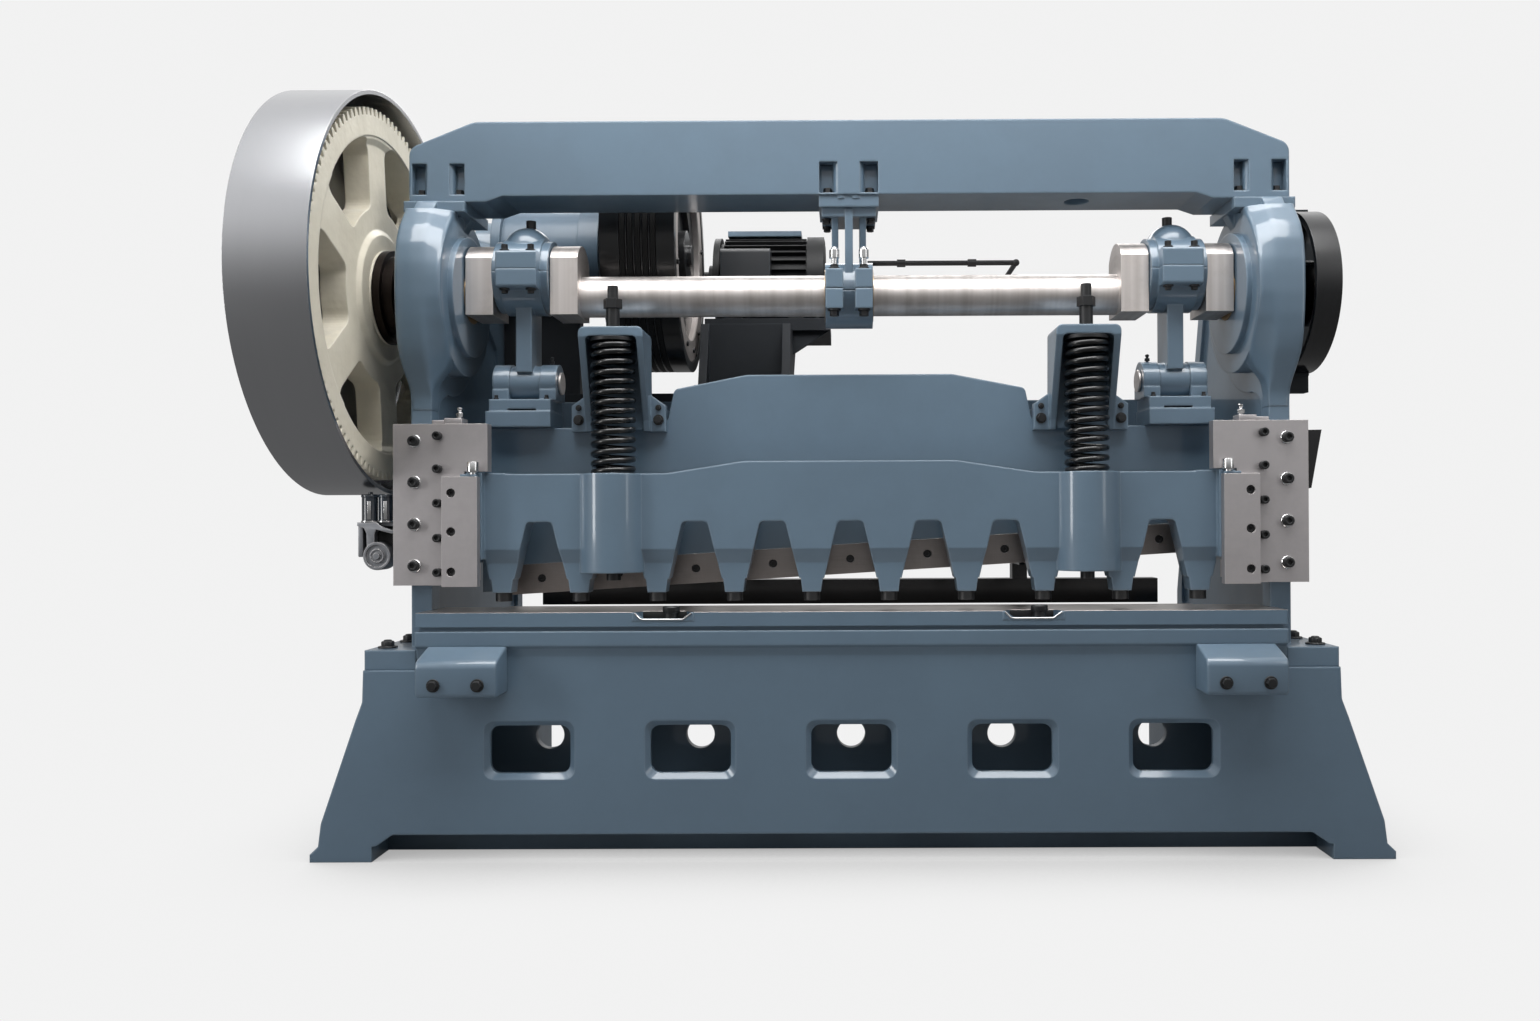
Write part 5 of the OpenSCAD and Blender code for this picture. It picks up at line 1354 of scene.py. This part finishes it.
@dataclass
class HandPockets:
    """Lips with bright rims, dark linings and round caps of the table's two hand pockets."""

    centres: tuple[float, float] = (-0.535, 0.520)
    top: float = 0.711
    floor: float = 0.684
    bend: float = 0.6925
    face: float = -0.5590
    mouth: float = 0.081
    foot: float = 0.056
    end: float = 0.0888
    rim: float = 0.0026
    edge: float = 0.0004
    cap_shift: float = 0.020
    cap_y: float = -0.534
    cap_r: float = 0.024
    cap: tuple[tuple[float, float], ...] = (
        (0, 0.8), (0.022, 0.8), (0.023, 0.97), (0.025, 1), (0.038, 1), (0.0405, 0.93), (0.0405, 0.45),
        (0.0385, 0.40))

    def build(self, shop: Workshop) -> None:
        """Build the lips, rims, linings and caps of both pockets.

        Args:
            shop: What makes the pieces.
        """
        rims, lips, linings, caps = [], [], [], []
        for x in self.centres:
            corners = np.array([(x - self.mouth, self.top), (x - self.foot - 0.010, self.bend + 0.002),
                                (x - self.foot, self.bend), (x + self.foot, self.bend),
                                (x + self.mouth, self.top)])
            path = np.stack([corners[:, 0], np.full(len(corners), self.face), corners[:, 1] - self.rim], -1)
            rims.append(tube(path, self.rim, 10))
            low, bend, high = self.floor + 0.0002, self.bend, self.top - 0.0006
            outline = [(low, x - self.end), (high, x - self.end), (high, x - self.mouth),
                       (bend, x - self.foot), (bend, x + self.foot), (high, x + self.mouth),
                       (high, x + self.end), (low, x + self.end)]
            lips.append(slab(outline, self.face + 0.0002, self.face + 0.012, Axis.Y, self.edge))
            linings.append(plate((x - 0.085, self.face + 0.0125, self.floor + 0.0001),
                                 (x + 0.085, -0.5175, self.floor + 0.0015), Axis.Z, 0.004, self.edge))
            linings.append(plate((x - 0.087, -0.5195, self.floor), (x + 0.087, -0.5171, self.top - 0.0005),
                                 Axis.Z, 0.001, self.edge))
            caps.append(lathe([(s, self.cap_r * share) for s, share in self.cap],
                              Stand((x + self.cap_shift, self.cap_y, self.floor + 0.0014), UP), steps=48))
        shop.piece("pocket_rims", rims, Palette.BRIGHT, smooth=60)
        shop.piece("pocket_lips", lips, Palette.BLUE)
        shop.piece("pocket_linings", linings, Palette.BLACK_OXIDE)
        shop.piece("pocket_caps", caps, Palette.BLACK_OXIDE, instead_of="table_bolts")


@dataclass
class BaseSill:
    """Sill that stands on the floor behind the base's front plate, between the feet."""

    low: Vector3 = (-1.385, -0.428, 0.0008)
    high: Vector3 = (1.385, -0.396, 0.112)

    def build(self, shop: Workshop) -> None:
        """Build the sill on the frame."""
        # The sill wears the shaded blue, a painted shade for its place under the base's front plate
        shop.piece("base_sill", [plate(self.low, self.high, Axis.X, 0.004, 0.002)], Palette.SHADED_BLUE)


@dataclass
class YokeShadePlates:
    """Thin plates in the shaded blue behind the springs, a dark backing that stands in for the shade between
    the yokes.
    """

    spring_x: float = 0.701
    half: float = 0.079
    low: float = 1.246
    high: float = 1.517
    front: float = -0.352
    back: float = -0.345

    def build(self, shop: Workshop) -> None:
        """Build both plates on the ram.

        Args:
            shop: What makes the pieces.
        """
        # Painted shade: dark plates put where the springs only have shade behind them
        plates = [plate((side * self.spring_x - self.half, self.front, self.low),
                        (side * self.spring_x + self.half, self.back, self.high), Axis.Y, 0.012, 0.001)
                  for side in SIDES]
        shop.piece("yoke_shade_plates", plates, Palette.SHADED_BLUE, "ram")


@dataclass
class BearingHousings:
    """Cast heads of the side frames: a thick rounded nose that narrows into the column below it.

    A row of the table is a height, the outer side, how far forward that comes, the inner side, how far
    forward that comes, and the back.
    """

    low: float = 1.300
    high: float = 1.897
    column_in: float = 1.229
    corner: float = 0.013
    margin: float = 0.030
    blur: int = 25
    table: tuple[tuple[float, ...], ...] = (
        (1.300, 1.2918, -0.4512, 1.2300, -0.4512, -0.392), (1.340, 1.2922, -0.4535, 1.2296, -0.4535, -0.392),
        (1.380, 1.2970, -0.4700, 1.2220, -0.4480, -0.392), (1.420, 1.3050, -0.4890, 1.1960, -0.4320, -0.380),
        (1.460, 1.3100, -0.5070, 1.1800, -0.4420, -0.360), (1.500, 1.3115, -0.5180, 1.1780, -0.4740, -0.360),
        (1.560, 1.3115, -0.5290, 1.1780, -0.5120, -0.360), (1.620, 1.3115, -0.5345, 1.1780, -0.5300, -0.360),
        (1.680, 1.3115, -0.5350, 1.1780, -0.5320, -0.360), (1.720, 1.3115, -0.5335, 1.1780, -0.5260, -0.360),
        (1.780, 1.3115, -0.5230, 1.1780, -0.5010, -0.360), (1.830, 1.3115, -0.5000, 1.1780, -0.4650, -0.360),
        (1.870, 1.3115, -0.4660, 1.1780, -0.4270, -0.360), (1.897, 1.3115, -0.4440, 1.1780, -0.4140, -0.360))

    def columns(self, z: np.ndarray) -> list[np.ndarray]:
        """Read the table's five columns at each height, smoothed by a moving mean.

        Args:
            z: The heights.

        Returns:
            Outer side, front, inner side, inner front and back at each height.
        """
        rows = np.asarray(self.table)
        fine = np.linspace(self.low - self.margin, self.high + self.margin, 661)
        kernel = np.ones(self.blur) / self.blur
        padded = [np.pad(np.interp(fine, rows[:, 0], column), self.blur // 2, "edge")
                  for column in rows.T[1:]]
        return [np.interp(z, fine, np.convolve(column, kernel, "valid")) for column in padded]

    def half(self, side: int) -> Shape:
        """Work out one head: each level is a five-sided ring whose corners are arcs.

        Args:
            side: Minus one for the left frame, one for the right.

        Returns:
            The closed head.
        """
        z = np.linspace(self.low, self.high, 61)
        outer, front, inner, back_in, back = self.columns(z)
        middle = np.full_like(z, self.column_in)
        pairs = ((outer, front), (middle, front), (inner, back_in), (inner, back), (outer, back))
        corners = np.stack([np.stack(pair, -1) for pair in pairs], 1)
        before, after = np.roll(corners, 1, 1) - corners, np.roll(corners, -1, 1) - corners
        far = [np.linalg.norm(way, axis=-1, keepdims=True) for way in (before, after)]
        reach = np.minimum(self.corner, 0.45 * np.minimum(*far))
        start, end = (corners + way / np.maximum(size, 1e-9) * reach
                      for way, size in zip((before, after), far))
        ring = curve(start, corners, end, HEAD_POINTS).reshape(len(z), -1, 2)
        level = np.broadcast_to(z[:, None], ring.shape[:2])
        points = np.stack([side * ring[..., 0], ring[..., 1], level], -1)
        faces = ring_faces(len(z), ring.shape[1])
        return Shape(points.reshape(-1, 3), [f[::-1] for f in faces] if side > 0 else faces)

    def build(self, shop: Workshop) -> None:
        """Build both heads on the frame."""
        for side, name in zip(SIDES, ("bearing_housing_left", "bearing_housing_right")):
            shop.piece(name, [self.half(side)], Palette.BLUE, smooth=50)


@dataclass
class BeamPockets:
    """Rounded columns and shallow linings inside the bolt pockets of the top beam."""

    face: float = -0.388
    floor: float = 1.935
    top: float = 2.045
    half: float = 0.034
    column: float = 0.024
    show: float = 0.013
    depth: tuple[float, float] = (0.034, 0.062)
    inset: tuple[float, float] = (0.008, 0.165)
    centre: float = 0.088

    def build(self, shop: Workshop) -> None:
        """Build the columns and linings of all three pockets.

        Args:
            shop: What makes the pieces.
        """
        low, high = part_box("top_beam")
        near, far = self.inset
        ends = (low[0] + near, low[0] + far), (-self.centre, self.centre), (high[0] - far, high[0] - near)
        shapes = []
        for one, two in ends:
            middle, edge = (one + two) / 2, (two - one) / 2
            for side in SIDES:
                x = middle + side * (self.half + self.show - self.column)
                stand = Stand((x, self.face + self.column + 0.003, self.floor), UP)
                a, b = sorted((middle + side * (self.half - 0.002), middle + side * (edge + 0.002)))
                front, back = (self.face + d for d in self.depth)
                shapes += [lathe([(0, self.column), (self.top - self.floor, self.column)], stand, steps=40),
                           plate((a, front, self.floor), (b, back, self.top), Axis.Z, 0.004, 0.002)]
        shop.piece("pocket_columns", shapes, Palette.BLUE, smooth=40)


@dataclass
class Studio:
    """Floor, backdrop, lamps and camera; a lamp is a name, a place, its aim, its size and its watts."""

    camera_at: Vector3 = (-0.015, -3.913, 0.980)
    yaw: float = 0.2145
    pitch: float = 0.3141
    roll: float = 0.2528
    focal_pixels: float = 1178.3
    frame_pixels: float = 1540.0
    shift_pixels: float = -70.7
    sensor: float = 36.0
    far: float = 100.0
    pale: float = 0.885
    shadow: float = 0.38
    shadow_reach: float = 0.55
    floor_radii: tuple[float, ...] = (0.5, 2.0, 4.0, 8.0, 30.0)
    floor_tones: tuple[float, float] = (0.40, 0.37)
    fill: float = 0.14
    fill_colour: tuple[float, ...] = (0.93, 0.96, 1.0, 1)
    mirrored_floor: float = 0.22
    mirrored_sky: tuple[float, ...] = (-0.05, 0.65, 0.26, 1.0)
    lamps: tuple[tuple, ...] = (
        ("overhead", (0.0, -1.5, 4.3), (0.0, -0.25, 1.5), (4.6, 2.0), 215),
        ("left_strip", (-4.5, -2.7, 2.2), (-0.2, -0.3, 1.2), (0.9, 2.8), 75),
        ("right_strip", (3.6, -3.0, 2.2), (0.3, -0.3, 1.1), (0.8, 2.6), 14),
        ("back_fill", (0.0, 3.2, 4.8), (0.0, 0.4, 1.2), (4.0, 1.8), 105))

    def floor(self) -> None:
        """Lay a pale floor, even to the camera apart from the soft shadow that gathers under the machine."""
        steps = 96
        t = np.arange(steps) * 2 * math.pi / steps
        radii = np.array(self.floor_radii)
        points = np.stack([np.outer(radii, np.cos(t)), np.outer(radii, np.sin(t)),
                           np.zeros((len(radii), steps))], -1)
        mesh = bpy.data.meshes.new("studio_floor")
        inner_and_rings = ring_faces(len(radii), steps)[:-1]
        mesh.from_pydata(points.reshape(-1, 3).tolist(), [], [f[::-1] for f in inner_and_rings])
        floor = bpy.data.objects.new("studio_floor", mesh)
        bpy.context.scene.collection.objects.link(floor)
        material = bpy.data.materials.new("StudioFloor")
        material.use_nodes = True
        material.node_tree.nodes.clear()
        sheet = Sheet(material.node_tree)
        grain = sheet.noise(sheet.add("TexCoord").outputs["Object"], 240.0, 2.0)
        light, dark = ((tone, tone, tone, 1) for tone in self.floor_tones)
        tone = sheet.blend(sheet.math("MULTIPLY", grain, 0.05), light, dark)
        matt = sheet.add("BsdfPrincipled", {"Base Color": tone, "Roughness": 0.8, "Specular IOR Level": 0.1})
        open_sky = sheet.add("AmbientOcclusion", {"Distance": self.shadow_reach}, samples=12).outputs["AO"]
        shade = sheet.ramp(open_sky, 0.0, 1.0, self.shadow, self.pale)
        glow = sheet.add("Emission", {"Color": (1, 1, 1, 1)})
        path = sheet.add("LightPath")
        mirrored = sheet.ramp(path.outputs["Is Glossy Ray"], 0.0, 1.0, 1.0, self.mirrored_floor)
        sheet.link(sheet.math("MULTIPLY", shade, mirrored), glow.inputs["Strength"])
        seen = sheet.math("MAXIMUM", path.outputs["Is Camera Ray"], path.outputs["Is Glossy Ray"])
        plain = sheet.add("MixShader", {0: seen, 1: matt.outputs[0], 2: glow.outputs[0]})
        sheet.add("OutputMaterial", {"Surface": plain.outputs[0]})
        mesh.materials.append(material)

    def world(self) -> None:
        """Light evenly, show the camera a pale backdrop, and let metal see it grow darker downwards."""
        world = bpy.data.worlds.new("Studio")
        world.use_nodes = True
        world.node_tree.nodes.clear()
        sheet = Sheet(world.node_tree)
        path = sheet.add("LightPath")
        seen = sheet.math("MAXIMUM", path.outputs["Is Camera Ray"], path.outputs["Is Transmission Ray"])
        lit = sheet.add("Background", {"Color": self.fill_colour, "Strength": self.fill})
        shown = sheet.add("Background", {"Color": (1, 1, 1, 1), "Strength": self.pale})
        height = sheet.part(sheet.add("TexCoord").outputs["Generated"], "Z")
        mirrored = sheet.add("Background", {"Color": (1, 1, 1, 1),
                                            "Strength": sheet.ramp(height, *self.mirrored_sky)})
        mix = sheet.add("MixShader", {0: seen, 1: lit.outputs[0], 2: shown.outputs[0]})
        mix = sheet.add("MixShader", {0: path.outputs["Is Glossy Ray"], 1: mix.outputs[0],
                                      2: mirrored.outputs[0]})
        sheet.add("OutputWorld", {"Surface": mix.outputs[0]})
        bpy.context.scene.world = world

    @staticmethod
    def place(thing: bpy.types.Object, right: Sequence[float], up: Sequence[float], back: Sequence[float],
              at: Sequence[float]) -> None:
        """Stand a thing in the scene.

        Args:
            thing: A lamp or a camera.
            right: Direction of its own x.
            up: Direction of its own y.
            back: Direction of its own z, away from what it faces.
            at: Where it stands.
        """
        matrix = np.eye(4)
        matrix[:3, :] = np.stack([right, up, back, at], -1)
        thing.matrix_world = Matrix(matrix.tolist())
        bpy.context.scene.collection.objects.link(thing)

    def lamp(self, name: str, at: Vector3, towards: Vector3, size: tuple[float, float], power: float) -> None:
        """Hang one soft rectangular lamp.

        Args:
            name: The lamp's name.
            at: Where it hangs.
            towards: The point it faces.
            size: Its width and height.
            power: Its power in watts.
        """
        data = bpy.data.lights.new(name, "AREA")
        data.shape = "RECTANGLE"
        data.size, data.size_y = size
        data.energy = power
        back = np.asarray(at, float) - np.asarray(towards, float)
        back /= np.linalg.norm(back)
        right = np.cross(UP, back)
        right /= np.linalg.norm(right)
        self.place(bpy.data.objects.new(name, data), right, np.cross(back, right), back, at)

    def camera(self) -> None:
        """Set the camera where the photograph's perspective puts it."""
        yaw, pitch, roll = (math.radians(a) for a in (self.yaw, self.pitch, self.roll))
        turn = Matrix.Rotation(yaw, 3, "Z") @ Matrix.Rotation(pitch, 3, "X") @ Matrix.Rotation(roll, 3, "Y")
        right, forward, up = (np.array(turn.col[i]) for i in range(3))
        data = bpy.data.cameras.new("Camera")
        data.sensor_width = self.sensor
        data.lens = self.focal_pixels / self.frame_pixels * data.sensor_width
        data.shift_x = self.shift_pixels / self.frame_pixels
        data.clip_end = self.far
        thing = bpy.data.objects.new("Camera", data)
        self.place(thing, right, up, -forward, self.camera_at)
        bpy.context.scene.camera = thing

    def build(self) -> None:
        """Set up the whole studio."""
        self.camera()
        self.world()
        self.floor()
        for lamp in self.lamps:
            self.lamp(*lamp)
        bpy.context.scene.view_settings.view_transform = "Standard"
        log.info("studio ready")


def main() -> None:
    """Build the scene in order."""
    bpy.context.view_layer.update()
    Studio().build()
    palette = Palette()
    palette.dress_frame()
    shop = Workshop(palette)
    for part in (Springs(), GuideScrews(), BrightScrews(), Lubricator(), MotorTrim(), BearingHousings(),
                 BeamPockets(), ArmBrackets(), FootBolts(), WheelRing(), HandPockets(), BaseSill(),
                 YokeShadePlates()):
        part.build(shop)


if __name__ == "__main__":
    logging.basicConfig(level=logging.INFO, format="%(message)s")
    main()
